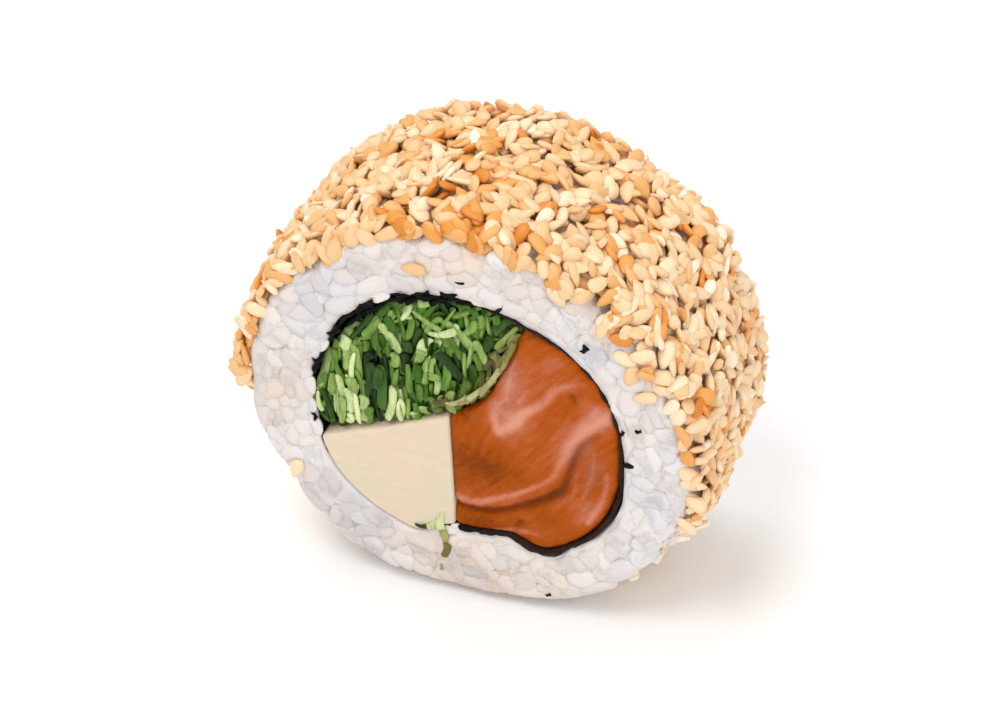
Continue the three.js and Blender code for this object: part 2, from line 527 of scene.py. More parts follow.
def rice_core_finish():
    work = Finish("pressed_rice")
    inputs = {"Vector": work.scaled(work.places, (1, 1, 0.55)), "Scale": 0.75, "Randomness": 1.0}
    cells = work.node("ShaderNodeTexVoronoi", {"feature": "SMOOTH_F1"}, inputs, "Distance")
    return work.done(
        Base_Color=rice_color(work),
        Specular_IOR_Level=0.3,
        Roughness=0.55,
        Normal=work.bump(1 - cells, 0.3),
        **translucent(0.2, 1.0, 0.85, 0.7, 0.4),
    )


def sesame_finish():
    work = Finish("toasted_sesame")
    speckle = work.noise(2.2, detail=3)
    body = work.ramp(
        work.attribute("tone") + 0.1 * (speckle - 0.5),
        (0.0, "#FFF2DF"), (0.22, "#F6DBB6"), (0.45, "#EEC491"), (0.65, "#E6AA64"),
        (0.82, "#E8983A"), (1.0, "#D27C1C"),
    )
    tipped = work.mix(work.attribute("tip") * 0.3, body, linear("#C99250"))
    return work.done(
        Base_Color=tipped,
        Roughness=0.36 + 0.2 * speckle,
        Normal=work.bump(speckle, 0.05),
        **translucent(0.2, 1.0, 0.7, 0.4, 0.25),
    )


def nori_finish():
    work = Finish("damp_nori")
    fibre = work.noise(1.1, stretch=(1, 0.35, 1), detail=5, roughness=0.7)
    blotch = work.noise(0.22, detail=2)
    dark = work.ramp(fibre, (0.3, "#010201"), (0.55, "#060906"), (0.8, "#182010"))
    damp = work.mix(blotch.between(0.45, 0.7) * 0.5, dark, linear("#180E12"))
    brown = work.ramp(fibre, (0.3, "#1E1012"), (0.55, "#35201C"), (0.8, "#57402C"))
    return work.done(
        Base_Color=work.mix(work.attribute("brown") * (0.4 + fibre), damp, brown),
        Specular_IOR_Level=0.15,
        Roughness=0.55 + 0.25 * fibre,
        Normal=work.bump(fibre, 0.12),
    )


def greens_finish():
    work = Finish("green_shreds")
    streak = work.noise(1.3, stretch=(2.4, 1, 0.5), detail=4, roughness=0.6)
    shade = work.attribute("tone") + 0.5 * (streak - 0.5)
    green = work.ramp(
        shade,
        (0.0, "#0C1A05"), (0.22, "#26480C"), (0.45, "#4E781F"), (0.64, "#7E9E48"),
        (0.82, "#B0C47E"), (1.0, "#DDE8B0"),
    )
    olive = work.ramp(shade, (0.0, "#4A3E18"), (0.5, "#857440"), (1.0, "#BCB684"))
    return work.done(
        Base_Color=work.mix(work.attribute("dry"), green, olive),
        Specular_IOR_Level=0.25,
        Roughness=0.4 + 0.2 * streak,
        Normal=work.bump(streak, 0.06),
        **translucent(0.12, 0.5, 1.0, 0.3, 0.2),
    )


def cheese_finish():
    work = Finish("soft_cheese")
    broad = work.noise(0.2, detail=3)
    drag = work.noise(0.9, stretch=(0.25, 1, 1.4), detail=4)
    grain = work.noise(3.0, detail=3)
    cream = work.ramp(broad, (0.3, "#D5CBAF"), (0.5, "#DCCAB0"), (0.7, "#DFC8B3"))
    waxy = work.mix(drag.between(0.5, 0.75) * 0.35, cream, linear("#E8D8C0"))
    return work.done(
        Base_Color=waxy,
        Roughness=0.42 + 0.15 * grain,
        Normal=work.bump(drag + 0.3 * grain, 0.07),
        **translucent(0.4, 1.0, 0.8, 0.5, 1.6),
    )


FIBRES_RUN = 52  # degrees up from the right, the way the salmon's fibres run


def salmon_fibre(work):
    """Streaks that run one way through the flesh and bow round its fat lines."""
    inputs = {"Vector": work.places, "Angle": math.radians(FIBRES_RUN)}
    lined_up = work.node("ShaderNodeVectorRotate", {"rotation_type": "Y_AXIS"}, inputs)
    inputs = {
        0: work.scaled(lined_up, (0.22, 0.3, 1.5)),
        1: work.node("ShaderNodeCombineXYZ", {}, {2: work.attribute("flow") * 0.35}),
    }
    bowed = work.node("ShaderNodeVectorMath", {"operation": "ADD"}, inputs)
    return work.noise_at(bowed, 1.0, detail=4.0, roughness=0.62)


def salmon_finish():
    work = Finish("raw_salmon")
    fibre = salmon_fibre(work)
    blotch = work.noise(0.42, detail=3)
    fine = work.noise(2.6, detail=3)
    flesh = work.ramp(
        work.attribute("tone") + 0.62 * (fibre - 0.5) + 0.45 * (blotch - 0.5) + 0.2 * (fine - 0.5),
        (0.0, "#863A00"), (0.2, "#A04800"), (0.42, "#B05216"), (0.55, "#B65E34"),
        (0.72, "#B86C52"), (1.0, "#C88A78"),
    )
    pale = work.attribute("fat") * (0.7 + 0.6 * fibre) + 0.2 * (fine - 0.5)
    lined = work.mix(pale.between(0.05, 1.05), flesh, linear("#D8937A"))
    # Painted shade darkens the creases towards a deep brown, and the brownish places of the flakes
    # take the same brown.
    crease_shade_and_brown_share = work.attribute("crease").between(0, 1) * 0.8
    return work.done(
        Base_Color=work.mix(crease_shade_and_brown_share, lined, linear("#5E2800")),
        Specular_IOR_Level=0.06,
        Roughness=0.28 + 0.2 * fine,
        Normal=work.bump(fibre + 0.3 * fine, 0.2),
        **translucent(0.1, 1.0, 0.3, 0.1, 1.0),
    )


def floor_finish():
    work = Finish("pale_floor")
    return work.done(Base_Color=linear("#FBFAFA"), Roughness=0.6 + 0.1 * work.noise(0.02))


# ---- Small shapes that are laid out by the hundred. Each fills a box of one by one by one ----

BOW_LEVEL = 0.4  # keeps a bowed body about its middle
LUMP_SIZE = 0.9


def pod(name, outline, rings, sides, rise, sway, lump, seed, flat=1.0):
    """A long closed body along X. The outline gives its half width from -1 to 1 along it.

    It bows upwards by the rise and sideways by the sway, and its lumps are drawn from the seed.
    """
    along = -np.cos(np.linspace(0, math.pi, rings + 2))[1:-1]
    half = outline(along)[:, None]
    bow = along[:, None] ** 2 - BOW_LEVEL
    turn = np.linspace(0, 2 * math.pi, sides, endpoint=False)
    side = np.sign(np.cos(turn)) * np.abs(np.cos(turn)) ** flat
    places = np.stack([
        np.broadcast_to(along[:, None] / 2, (rings, sides)),
        half * side + sway * bow,
        half * np.sin(turn) + rise * bow,
    ], -1)
    places = places * (1 + lump * unevenness(places, LUMP_SIZE, seed, 1)[..., None])
    rows, faces = capped(places)
    rows[-2, 0] = -0.5
    rows[-1, 0] = 0.5
    tip = np.append(np.repeat(smooth_step(-along, 0.55, 1.0), sides), (1.0, 0.0))
    return bpy.data.objects.new(name, closed_mesh(name, rows, faces, tip=tip))


def grain(i, blunt, rise, sway, fuller):
    """A cooked grain of short rice: plump, with blunt ends and a slight bend."""
    outline = lambda t: 0.5 * np.sqrt(1 - np.abs(t) ** blunt) * (1 + fuller * t)
    return pod(f"grain_{i}", outline, rings=6, sides=10, rise=rise, sway=sway, lump=0.05, seed=i)


def sesame_seed(i, point, blunt, rise):
    """A hulled sesame seed: a flat drop, pointed at one end."""
    crest = (point - blunt) / (point + blunt)
    most = (1 + crest) ** point * (1 - crest) ** blunt
    outline = lambda t: 0.5 * (1 + t) ** point * (1 - t) ** blunt / most
    bend = {"rise": rise, "sway": 0.0}
    return pod(f"seed_{i}", outline, rings=5, sides=8, **bend, lump=0.05, seed=20 + i, flat=0.8)


def shred(i, rise, sway, taper):
    """A sliver of greens: straight or a little bowed, with blunt, torn ends."""
    outline = lambda t: 0.5 * (1 - t ** 12) ** 0.5 * (1 - taper * t) / (1 + abs(taper))
    bend = {"rise": rise, "sway": sway}
    return pod(f"shred_{i}", outline, rings=8, sides=8, **bend, lump=0.12, seed=40 + i, flat=0.35)


def fleck(i):
    """A torn crumb of nori."""
    outline = lambda t: 0.5 * (1 - t ** 4) ** 0.5 * (1 + 0.25 * np.sin(4.2 * t + 1.7 * i)) / 1.25
    return pod(f"fleck_{i}", outline, rings=7, sides=9, rise=0.2, sway=0.4, lump=0.5, seed=60 + i)


# What sets the shapes of each kind apart, in the terms of the functions above.
GRAIN_SHAPES = [
    (2.6, 0.1, 0.06, 0.0), (2.2, -0.08, 0.14, 0.1), (3.0, 0.02, -0.1, -0.08),
    (2.4, 0.14, 0.0, 0.14), (2.0, 0.0, 0.18, -0.12),
]
SEED_SHAPES = [(0.72, 0.42, 0.0), (0.88, 0.44, 0.1), (0.66, 0.4, -0.12), (0.8, 0.48, 0.05)]
SHRED_SHAPES = [
    (0.0, 0.04, 0.3), (0.3, 0.12, -0.1), (-0.3, -0.15, 0.4), (0.5, 0.0, 0.0), (0.2, -0.35, 0.2),
    (-0.4, 0.3, -0.3),
]
FLECK_SHAPES = 4 * [()]  # their numbers alone set these apart

# ---- Laying things out ----

CELL = 0.1  # of the height field
HIGHEST_COUNTS = 0.4  # how far the highest place under a thing counts when it seeks a low spot
PROUD_SHARE = 0.5  # the share of what stands out under a thing that it rides on
MIDDLE_UP = 0.42  # the share of its thickness from there to its middle


class Bed:
    """A surface rolled out flat, on which things are laid one by one, each on those below."""

    def __init__(self, low, high, wraps=False):
        self.low = np.array(low, float)
        self.wraps = wraps
        columns, rows = np.round((np.array(high) - low) / CELL).astype(int)
        self.height = np.zeros((rows, columns))

    def cells(self, x, y):
        rows, columns = self.height.shape
        column = np.floor((x - self.low[0]) / CELL).astype(int)
        row = np.clip(np.floor((y - self.low[1]) / CELL).astype(int), 0, rows - 1)
        column = column % columns if self.wraps else np.clip(column, 0, columns - 1)
        return row, column

    def lay(self, x, y, turn, size, steepest, ceiling, lean=(0, 0)):
        """Lays a thing on the lowest of some spots and returns where and how it lies."""
        length, width, thick = size
        away, sideways = FOOTPRINT[:, 0] * length / 2, FOOTPRINT[:, 1] * width / 2
        cos, sin = np.cos(turn)[:, None], np.sin(turn)[:, None]
        under = self.height[self.cells(
            x[:, None] + away * cos - sideways * sin,
            y[:, None] + away * sin + sideways * cos,
        )]
        best = int(np.argmin(under.mean(1) + HIGHEST_COUNTS * under.max(1)))
        under, x, y, turn = under[best], x[best], y[best], turn[best]
        slopes = [
            np.clip((reach * under).sum() / (reach ** 2).sum() + extra, -steepest, steepest)
            for reach, extra in zip((away, sideways), lean)
        ]
        proud = (under - under.mean() - slopes[0] * away - slopes[1] * sideways).max()
        middle = under.mean() + PROUD_SHARE * proud + MIDDLE_UP * thick
        middle = min(middle, ceiling - thick / 2)
        self.raise_under(x, y, turn, size, slopes, middle)
        return x, y, middle, local_axes(turn, slopes)

    def raise_under(self, x, y, turn, size, slopes, middle):
        """Raises the bed to the top of a thing that was laid."""
        length, width, thick = size
        reach = length / 2 + CELL
        steps = np.arange(-reach, reach, CELL)
        across, along = np.meshgrid(steps, steps)
        away = across * math.cos(turn) + along * math.sin(turn)
        sideways = along * math.cos(turn) - across * math.sin(turn)
        dome = 1 - (2 * away / length) ** 2 - (2 * sideways / width) ** 2
        inside = dome > 0
        top = middle + slopes[0] * away + slopes[1] * sideways
        top = top + thick / 2 * np.sqrt(np.maximum(dome, 0))
        cells = self.cells(x + across[inside], y + along[inside])
        np.maximum.at(self.height, cells, top[inside])


FOOTPRINT_RINGS = [(0.0, 1), (0.5, 6), (0.92, 10)]  # radius and number of places


def footprint():
    """Places in a disc of radius one: its middle and two rings."""
    turns = [(radius, 2 * math.pi * i / count)
             for radius, count in FOOTPRINT_RINGS for i in range(count)]
    return np.array([(radius * math.cos(turn), radius * math.sin(turn)) for radius, turn in turns])


FOOTPRINT = footprint()


def local_axes(turn, slopes):
    """The axes, as columns, of a thing turned in its bed and tilted by two slopes."""
    first = np.array([math.cos(turn), math.sin(turn), slopes[0]])
    second = np.array([-math.sin(turn), math.cos(turn), slopes[1]])
    first = first / np.linalg.norm(first)
    second = second - first * (first @ second)
    second = second / np.linalg.norm(second)
    return np.stack([first, second, np.cross(first, second)], -1)


class Laid:
    """Things laid out on the roll: where each is, its axes, its size and its attributes."""

    def __init__(self):
        self.rows = []

    def add(self, place, axes, size, **attributes):
        self.rows.append((place, axes, size, attributes))

    def points(self, kinds, draw):
        """A mesh of single points that carries what the laying tree reads."""
        places, axes, sizes, attributes = zip(*self.rows)
        mesh = bpy.data.meshes.new("points")
        mesh.from_pydata(to_frame(places).tolist(), [], [])
        store(
            mesh,
            turn=np.array([euler_of(each) for each in axes]),
            size=np.array(sizes),
            kind=draw.integers(0, kinds, len(places)),
            **{key: np.array([each[key] for each in attributes], float) for key in attributes[0]},
        )
        return mesh


def euler_of(axes):
    """The turns about X, Y and Z that give these axes."""
    return (
        math.atan2(axes[2, 1], axes[2, 2]),
        -math.asin(np.clip(axes[2, 0], -1, 1)),
        math.atan2(axes[1, 0], axes[0, 0]),
    )


def laying_tree():
    """Sets a shape on every point, turned and sized by the point's attributes."""
    tree = bpy.data.node_groups.new("laid_out", "GeometryNodeTree")
    sockets = {}
    for name, kind in [("Points", "Geometry"), ("Shapes", "Collection"), ("Finish", "Material"),
                       ("Unit", "Float")]:
        made = tree.interface.new_socket(name, in_out="INPUT", socket_type="NodeSocket" + kind)
        sockets[name] = made.identifier
    tree.interface.new_socket("Pieces", in_out="OUTPUT", socket_type="NodeSocketGeometry")
    work = Work(tree)

    def given(name):
        return work.node("NodeGroupInput", output=sockets[name])

    def named(name, data_type):
        return work.node(
            "GeometryNodeInputNamedAttribute", {"data_type": data_type}, {"Name": name}, "Attribute")

    shapes = work.node(
        "GeometryNodeCollectionInfo", {},
        {"Collection": given("Shapes"), "Separate Children": True, "Reset Children": True})
    size = work.node(
        "ShaderNodeVectorMath", {"operation": "SCALE"},
        {0: named("size", "FLOAT_VECTOR"), "Scale": given("Unit")})
    instances = work.node(
        "GeometryNodeInstanceOnPoints", {},
        {"Points": given("Points"), "Instance": shapes, "Pick Instance": True,
         "Instance Index": named("kind", "INT"), "Rotation": named("turn", "FLOAT_VECTOR"),
         "Scale": size})
    real = work.node("GeometryNodeRealizeInstances", {}, {"Geometry": instances})
    finished = work.node(
        "GeometryNodeSetMaterial", {}, {"Geometry": real, "Material": given("Finish")})
    work.node("NodeGroupOutput", {}, {0: finished})
    return tree, sockets


def laid_out(name, laid, make, kinds, finish, draw):
    """One plain mesh of all the things laid out, each one of the kinds that are made."""
    tree, sockets = laying_tree()
    shapes = [make(i, *kind) for i, kind in enumerate(kinds)]
    collection = bpy.data.collections.new(name + "_shapes")
    for shape in shapes:
        collection.objects.link(shape)
    host = shown(name + "_points", laid.points(len(kinds), draw))
    modifier = host.modifiers.new("laid_out", "NODES")
    modifier.node_group = tree
    modifier[sockets["Shapes"]] = collection
    modifier[sockets["Finish"]] = finish
    modifier[sockets["Unit"]] = MM
    graph = bpy.context.evaluated_depsgraph_get()
    mesh = bpy.data.meshes.new_from_object(
        host.evaluated_get(graph), preserve_all_data_layers=True, depsgraph=graph)
    host.modifiers.remove(modifier)
    bpy.data.objects.remove(host)
    for shape in shapes:
        bpy.data.objects.remove(shape)
    bpy.data.collections.remove(collection)
    mesh.name = name
    return shown(name, mesh)


def reshape(piece, change):
    """Moves a mesh's places, which the change is given and returns in millimetres."""
    count = len(piece.data.vertices)
    flat = np.empty(count * 3, np.float32)
    piece.data.vertices.foreach_get("co", flat)
    places = change(from_frame(flat.reshape(-1, 3)))
    piece.data.vertices.foreach_set("co", to_frame(places).astype(np.float32).ravel())
    piece.data.update()


# ---- Surfaces that things are laid on ----

STEP = 0.05


class Side:
    """The coat's side, from edge round to edge round, at a depth below the coat."""

    def __init__(self, below):
        self.below = below

    def place(self, across, along):
        angle = np.degrees(across / COAT_RADIUS)
        over = max(abs(along) - FLAT_HALF, 0) / EDGE_ROUND
        curve = EDGE_ROUND - self.below if over else 0
        y = -math.copysign(min(abs(along), FLAT_HALF) + curve * math.sin(over), along)
        fall = EDGE_ROUND - curve * math.cos(over) if over else self.below
        x, z = around(angle, coat_radius(angle, y) - fall)
        return np.array([x, y, max(z, self.below - AXIS_HEIGHT)])

    def axes(self, across, along):
        """Round the roll, along it and out, as columns, found by a small step each way."""
        first = self.place(across + STEP, along) - self.place(across - STEP, along)
        second = self.place(across, along + STEP) - self.place(across, along - STEP)
        out = np.cross(first, second)
        out = out / np.linalg.norm(out)
        first = first / np.linalg.norm(first)
        return np.stack([first, np.cross(out, first), out], -1)


class Cut:
    """A cut face at a depth. It is -1 for the front one and 1 for the back one."""

    def __init__(self, facing, below):
        self.facing = facing
        self.below = below

    def place(self, across, along):
        return np.array([-self.facing * across, self.facing * (HALF - self.below), along])

    def axes(self, across, along):
        return np.array([
            [-self.facing, 0, 0],
            [0, 0, self.facing],
            [0, 1, 0],
        ], float)


def put(laid, surface, lying, size, **attributes):
    """Adds a thing where and how it lies on a surface."""
    x, y, height, axes = lying
    axes_there = surface.axes(x, y)
    place = surface.place(x, y) + axes_there[:, 2] * height
    laid.add(place, axes_there @ axes, size, **attributes)


def turned_on_cut(facing, turn):
    """A turn that is given in degrees for the front cut, in radians for either cut."""
    return math.radians(turn if facing < 0 else 180 - turn)


def put_on_cut(laid, facing, spot, turn, size, rise, slopes, **attributes):
    """Puts a thing on the rice of a cut, at a spot that is given as x and z for the front cut."""
    x, z = spot
    lying = (-facing * x, z, level_at(x, z) + rise, local_axes(turn, slopes))
    put(laid, Cut(facing, 0.0), lying, size, **attributes)


# ---- Rice ----

# Where the rice looks warm (above 0) or cool (below 0): x, z, reach in x and in z, by.
RICE_TINTS = [
    (0.0, 18.6, 4.5, 2.0, 0.4), (-18.5, 0.5, 3.0, 5.0, 0.3), (0.5, -18.0, 9.0, 4.0, 0.4),
    (14.5, 14.5, 3.0, 3.0, 0.35), (18.0, -2.0, 3.5, 5.0, -0.15), (-12.5, -13.0, 4.0, 4.0, -0.2),
    (-13.5, 13.5, 4.0, 4.0, -0.2), (12.0, 11.5, 2.0, 2.0, -0.35),
]
# Where the rice is darkened by painted shade: at the left, lower left, bottom and top corners of the
# cuts, in the same terms.
RICE_PAINTED_SHADE = [
    (-18.5, 0.5, 3.5, 5.5, -0.34), (-13.0, -13.5, 5.0, 5.0, -0.46), (-1.0, -17.5, 7.0, 3.0, -0.38),
    (-13.5, 13.0, 5.0, 5.0, -0.2), (15.0, 12.0, 4.0, 5.0, -0.12),
]


# The painted shade of the rice at one place.
def painted_rice_shade_at(x, z):
    return float(tinted(x, z, 0.0, RICE_PAINTED_SHADE))


def warmth(place):
    """How warm the rice looks at some places of the cuts."""
    place = np.asarray(place, float)
    total = tinted(place[..., 0], place[..., 2], 0.36, RICE_TINTS)
    return np.clip(total + 0.16 * unevenness(place, 5, 17, 2), 0, 1)


GRAIN_LOW = (4.6, 2.2, 2.0)  # least length, width and thickness
GRAIN_HIGH = (6.1, 2.7, 2.4)
CUT_GRAIN_LENGTHS = (2.3, 5.0)
SIDE_GRAINS = 330
EDGE_GRAINS = 190
EDGE_DRAW = 15  # starts the draws for those grains
EDGE_BELOW = 1.95  # the depth from which their heights are measured
EDGE_HEIGHTS = (-0.25, 0.05)
EDGE_SPREAD = (-0.2, 1.4)  # from where to where round the edge they lie, in radians
EDGE_TURN = 0.35  # how far they usually turn away from it
CUT_GRAINS = 250
SIDE_BED_BELOW = 2.7  # the depth that the grains of the side are laid on
CUT_BED_BELOW = 1.9  # and those of the cuts
CUT_PROUD = 0.45  # by which those may stand out before they are pressed flat
TRIES = 8  # spots that are tried for each thing
RICE_EDGE = EDGE_ROUND - SEED_COAT + 0.1  # how far in from the seeds the rice rounds off
CUT_LUMPS_KEPT = 0.6
SIDE_MARGIN = 1.3  # from a cut to the end of a grain of the side
COAT_MARGIN = 1.5  # from the coat to a grain of a cut
GROUND_MARGIN = 1.9  # and from the ground
END_MARGIN = 0.7  # from the nori to the end of a grain of a cut, measured so far from its tip
MIDDLE_MARGIN = 1.0  # and to its middle
GRAIN_END = 0.4
LIP = (0.35, 0.8)  # how deep the rice sinks towards the nori, and within how far
GROUND_GAP = 0.25  # between the grains underneath and the ground
PRESSED_PROUD = (0.1, 0.35)  # how far a pressed grain still stands out, and how fast it gets there


def rice_top(x, z):
    """How far out the rice of a cut face stands: level, and falling round the edge."""
    angle, radius = polar(x, z)
    hole = hole_radius(angle)
    coat = coat_radius(angle, HALF)
    share = np.clip((radius - hole) / (coat - hole), 0, 1)
    past = np.clip((radius - coat + EDGE_ROUND) / RICE_EDGE, 0, 1)
    fall = EDGE_ROUND * (1 - np.sqrt(1 - past ** 2))
    lip = LIP[0] * np.exp(-((radius - hole) / LIP[1]) ** 2)
    return HALF + CUT_LUMPS_KEPT * cut_lumps(angle, share) - fall - lip


def level_at(x, z):
    """How far the rice of a cut stands out at one place, from the flat cut."""
    return float(rice_top(np.array(x), np.array(z))) - HALF


CORE_ACROSS = 10  # rows of the core's mesh over each cut, and through the hole
CORE_ROUND = 6  # and round each edge
CORE_ALONG = 16  # and along the side
CORE_COLUMNS = 300  # round the roll
CORE_ROUGH = 0.08
UNDERSIDE_LEVELS = (0.2, 0.0)  # over the seeds underneath, before and after it is roughened


def core_profile():
    """Rows of the core: the share of the way from the hole to its edge, how far past it, y."""
    deep, flat = HALF - CORE_BELOW_CUT, FLAT_HALF
    curve = EDGE_ROUND - SEED_COAT - CORE_BELOW_SIDE
    turns = np.radians(np.linspace(0, 90, CORE_ROUND))[1:]
    face = [(share, 0.0, -deep) for share in np.linspace(0, 1, CORE_ACROSS)]
    edge = [(1.0, curve * math.sin(t), -flat - (deep - flat) * math.cos(t)) for t in turns]
    side = [(1.0, curve, y) for y in np.linspace(-flat, flat, CORE_ALONG)[1:-1]]
    back = [(share, out, -y) for share, out, y in reversed(face + edge)]
    hole = [(0.0, 0.0, y) for y in np.linspace(deep, -deep, CORE_ACROSS)[1:-1]]
    return np.array(face + edge + side + back + hole)


def core_rows():
    """The profile taken round the roll, roughened, and flat underneath."""
    angles = np.linspace(0, 360, CORE_COLUMNS, endpoint=False)[None, :]
    share, out, y = (column[:, None] for column in core_profile().T)
    start = hole_radius(angles)
    radius = start + (coat_radius(angles, y) - EDGE_ROUND - start) * share + out
    section = around(angles + 0 * y, radius)
    rows = np.stack([section[..., 0], y + 0 * angles, section[..., 1]], -1)
    before, after = (SEED_COAT + level - AXIS_HEIGHT for level in UNDERSIDE_LEVELS)
    rows[..., 2] = np.maximum(rows[..., 2], before)
    rows = rows + CORE_ROUGH * unevenness(rows, 2.6, 5)[..., None] * (0.5, 1, 0.5)
    rows[..., 2] = np.maximum(rows[..., 2], after)
    return rows


def rice_core():
    """The ring of pressed rice under the grains, closed all round."""
    rows = core_rows()
    faces = band_faces(*rows.shape[:2], closed_rows=True)
    places = rows.reshape(-1, 3)
    x, y, z = places.T
    # Its tone is lowered where shade is painted into the rice.
    tone = tinted(x, z, 0.8, RICE_PAINTED_SHADE) + 0.15 * unevenness(places, 2.2, 18, 2)
    across = COAT_RADIUS * np.radians(polar(x, z)[0])
    warm = np.where(np.abs(y) < FLAT_HALF, side_warmth(places, across, -y), warmth(places))
    return shown("rice_core", closed_mesh(
        "rice_core", to_frame(places), faces, tone=np.clip(tone, 0, 1), warm=warm))


def thinness(place):
    """0 where the seeds lie thick on the side and 1 where the rice shows through them."""
    return smooth_step(unevenness(place, 5, 77, 2), 0.3, 0.6)


def side_warmth(place, across, along):
    """Warm under the seeds, and as on the cuts where the seeds are thin or missing."""
    bare = bareness(across, along)
    return (0.95 - 0.9 * thinness(place)) * (1 - bare) + warmth(place) * bare


def edge_rice(laid):
    """Grains along the rounded edges where no seeds hide them."""
    draw = np.random.default_rng(EDGE_DRAW)
    surface = Side(EDGE_BELOW)
    for _ in range(EDGE_GRAINS):
        size = draw.uniform(GRAIN_LOW, GRAIN_HIGH)
        across = COAT_RADIUS * math.radians(draw.uniform(BARE_FROM[0], BARE_TO[1]))
        along = draw.choice([-1, 1]) * (FLAT_HALF + EDGE_ROUND * draw.uniform(*EDGE_SPREAD))
        axes = local_axes(draw.normal(0, EDGE_TURN), (0, 0))
        height = draw.uniform(*EDGE_HEIGHTS)
        place = surface.place(across, along)
        tone = draw.uniform(0.5, 1) + painted_rice_shade_at(place[0], place[2])
        put(laid, surface, (across, along, height, axes), size, tone=tone, warm=warmth(place))


def side_rice(laid, draw):
    """Grains round the side. The bed that they make is returned for the seeds."""
    bed = Bed((0, -HALF - 1), (GIRTH, HALF + 1), wraps=True)
    surface = Side(SIDE_BED_BELOW)
    for _ in range(SIDE_GRAINS):
        size = draw.uniform(GRAIN_LOW, GRAIN_HIGH)
        turn = draw.uniform(0, math.pi, TRIES)
        room = HALF - SIDE_MARGIN - np.abs(np.sin(turn)) * size[0] / 2
        across = draw.uniform(0, GIRTH, TRIES)
        along = draw.uniform(-1, 1, TRIES) * room
        ceiling = SIDE_BED_BELOW - SEED_COAT
        lying = bed.lay(across, along, turn, size, steepest=0.35, ceiling=ceiling)
        warm = side_warmth(surface.place(*lying[:2]), *lying[:2])
        put(laid, surface, lying, size, tone=draw.uniform(0.6, 1), warm=warm)
    return bed


def ring_room(x, z, margin):
    """Whether places lie on the rice of a cut face, so far out from the nori."""
    angle, radius = polar(x, z)
    outside = radius > hole_radius(angle) + margin
    inside = radius < coat_radius(angle, HALF) - COAT_MARGIN
    return outside & inside & (z > GROUND_MARGIN - AXIS_HEIGHT)


def cut_rice(laid, draw, facing):
    """Grains of a cut face, some whole and some cut short, some seen from their ends."""
    reach = COAT_RADIUS + 2
    bed = Bed((-reach, -reach), (reach, reach))
    surface = Cut(facing, CUT_BED_BELOW)
    laid_count = 0
    while laid_count < CUT_GRAINS:
        size = draw.uniform(GRAIN_LOW, GRAIN_HIGH)
        size[0] = draw.uniform(*CUT_GRAIN_LENGTHS)
        angle = draw.uniform(0, 2 * math.pi, 4 * TRIES)
        radius = draw.uniform(FILLING_RADIUS, COAT_RADIUS, 4 * TRIES)
        turn = draw.uniform(0, math.pi, 4 * TRIES)
        x, z = np.cos(angle) * radius, np.sin(angle) * radius
        away = np.stack([np.cos(turn), np.sin(turn)]) * (size[0] / 2 - GRAIN_END)
        fits = ring_room(-facing * (x + away[0]), z + away[1], END_MARGIN)
        fits &= ring_room(-facing * (x - away[0]), z - away[1], END_MARGIN)
        fits &= ring_room(-facing * x, z, MIDDLE_MARGIN)
        if not fits.any():
            continue
        spots = (values[fits][:TRIES] for values in (x, z, turn))
        lying = bed.lay(*spots, size, steepest=0.3, ceiling=CUT_BED_BELOW + CUT_PROUD)
        spot = (-facing * lying[0], lying[1])
        warm = warmth((spot[0], 0, spot[1])) + draw.uniform(-0.12, 0.12)
        tone = draw.uniform(0.5, 1) + painted_rice_shade_at(*spot)
        put(laid, surface, lying, size, tone=tone, warm=warm)
        laid_count += 1


# Grains that lie over the nori's cut edge: x, z, length, width, turn.
GRAINS_OVER = [
    (-15.5, 1.3, 2.2, 1.3, 84), (-15.3, -3.6, 2.4, 1.3, 104), (-15.6, -1.2, 2.2, 1.1, 92),
    (-13.9, 6.5, 1.9, 1.2, 64), (-7.6, 13.4, 2.0, 1.1, 30), (2.0, 15.4, 2.0, 0.9, -6),
    (8.8, 12.7, 2.0, 0.8, -40), (14.7, 5.6, 1.8, 0.8, -68), (-2.2, -13.2, 2.6, 1.2, 20),
]
GRAIN_OVER_THICK = 1.1
GRAIN_OVER_HEIGHT = -0.35  # of its middle from the flat cut


def grains_over(laid, draw, facing):
    surface = Cut(facing, 0.0)
    for x, z, length, width, turn in GRAINS_OVER:
        axes = local_axes(turned_on_cut(facing, turn), (0, 0))
        lying = (-facing * x, z, GRAIN_OVER_HEIGHT, axes)
        tone = draw.uniform(0.6, 1) + painted_rice_shade_at(x, z)
        size = (length, width, GRAIN_OVER_THICK)
        put(laid, surface, lying, size, tone=tone, warm=warmth((x, 0, z)))


def pressed_flat(places):
    """Grains that stand out of a cut face are pressed level with it."""
    x, y, z = places.T
    top = rice_top(x, z)
    most, fast = PRESSED_PROUD
    proud = np.maximum(np.abs(y) - top, 0)
    level = np.minimum(np.abs(y), top) + most * (1 - np.exp(-proud / fast))
    return np.stack([x, np.sign(y) * level, np.maximum(z, GROUND_GAP - AXIS_HEIGHT)], -1)


# ---- Sesame ----

SEED_LOW = (2.2, 1.25, 0.6)  # least length, width and thickness
SEED_HIGH = (2.9, 1.7, 0.85)
SEEDS = 2250
SEED_LEAN = 0.3  # how steeply they usually tilt
SEED_BED_BELOW = 1.0  # the depth of the bed that the seeds are laid on
SEED_BED_RANGE = (-0.7, 0.3)  # how far the rice below may lower and raise that bed
SEEDS_PROUD = 0.7  # by which seeds that lie on others may stand out of the coat
BARE_FROM = (166, 184)  # between these angles the seeds by the cut peter out
BARE_TO = (336, 356)  # and between these they come back
BARE_WITHIN = (7.5, 5.0)  # of the cut
BARE_WAVES = 1.2
EDGE_REACH = 1.0  # how far round the edge the seeds go, in radians
EDGE_REACH_MORE = [(38, 32, 0.32, 4)]  # and where more
TOASTED_SHARE = 0.05
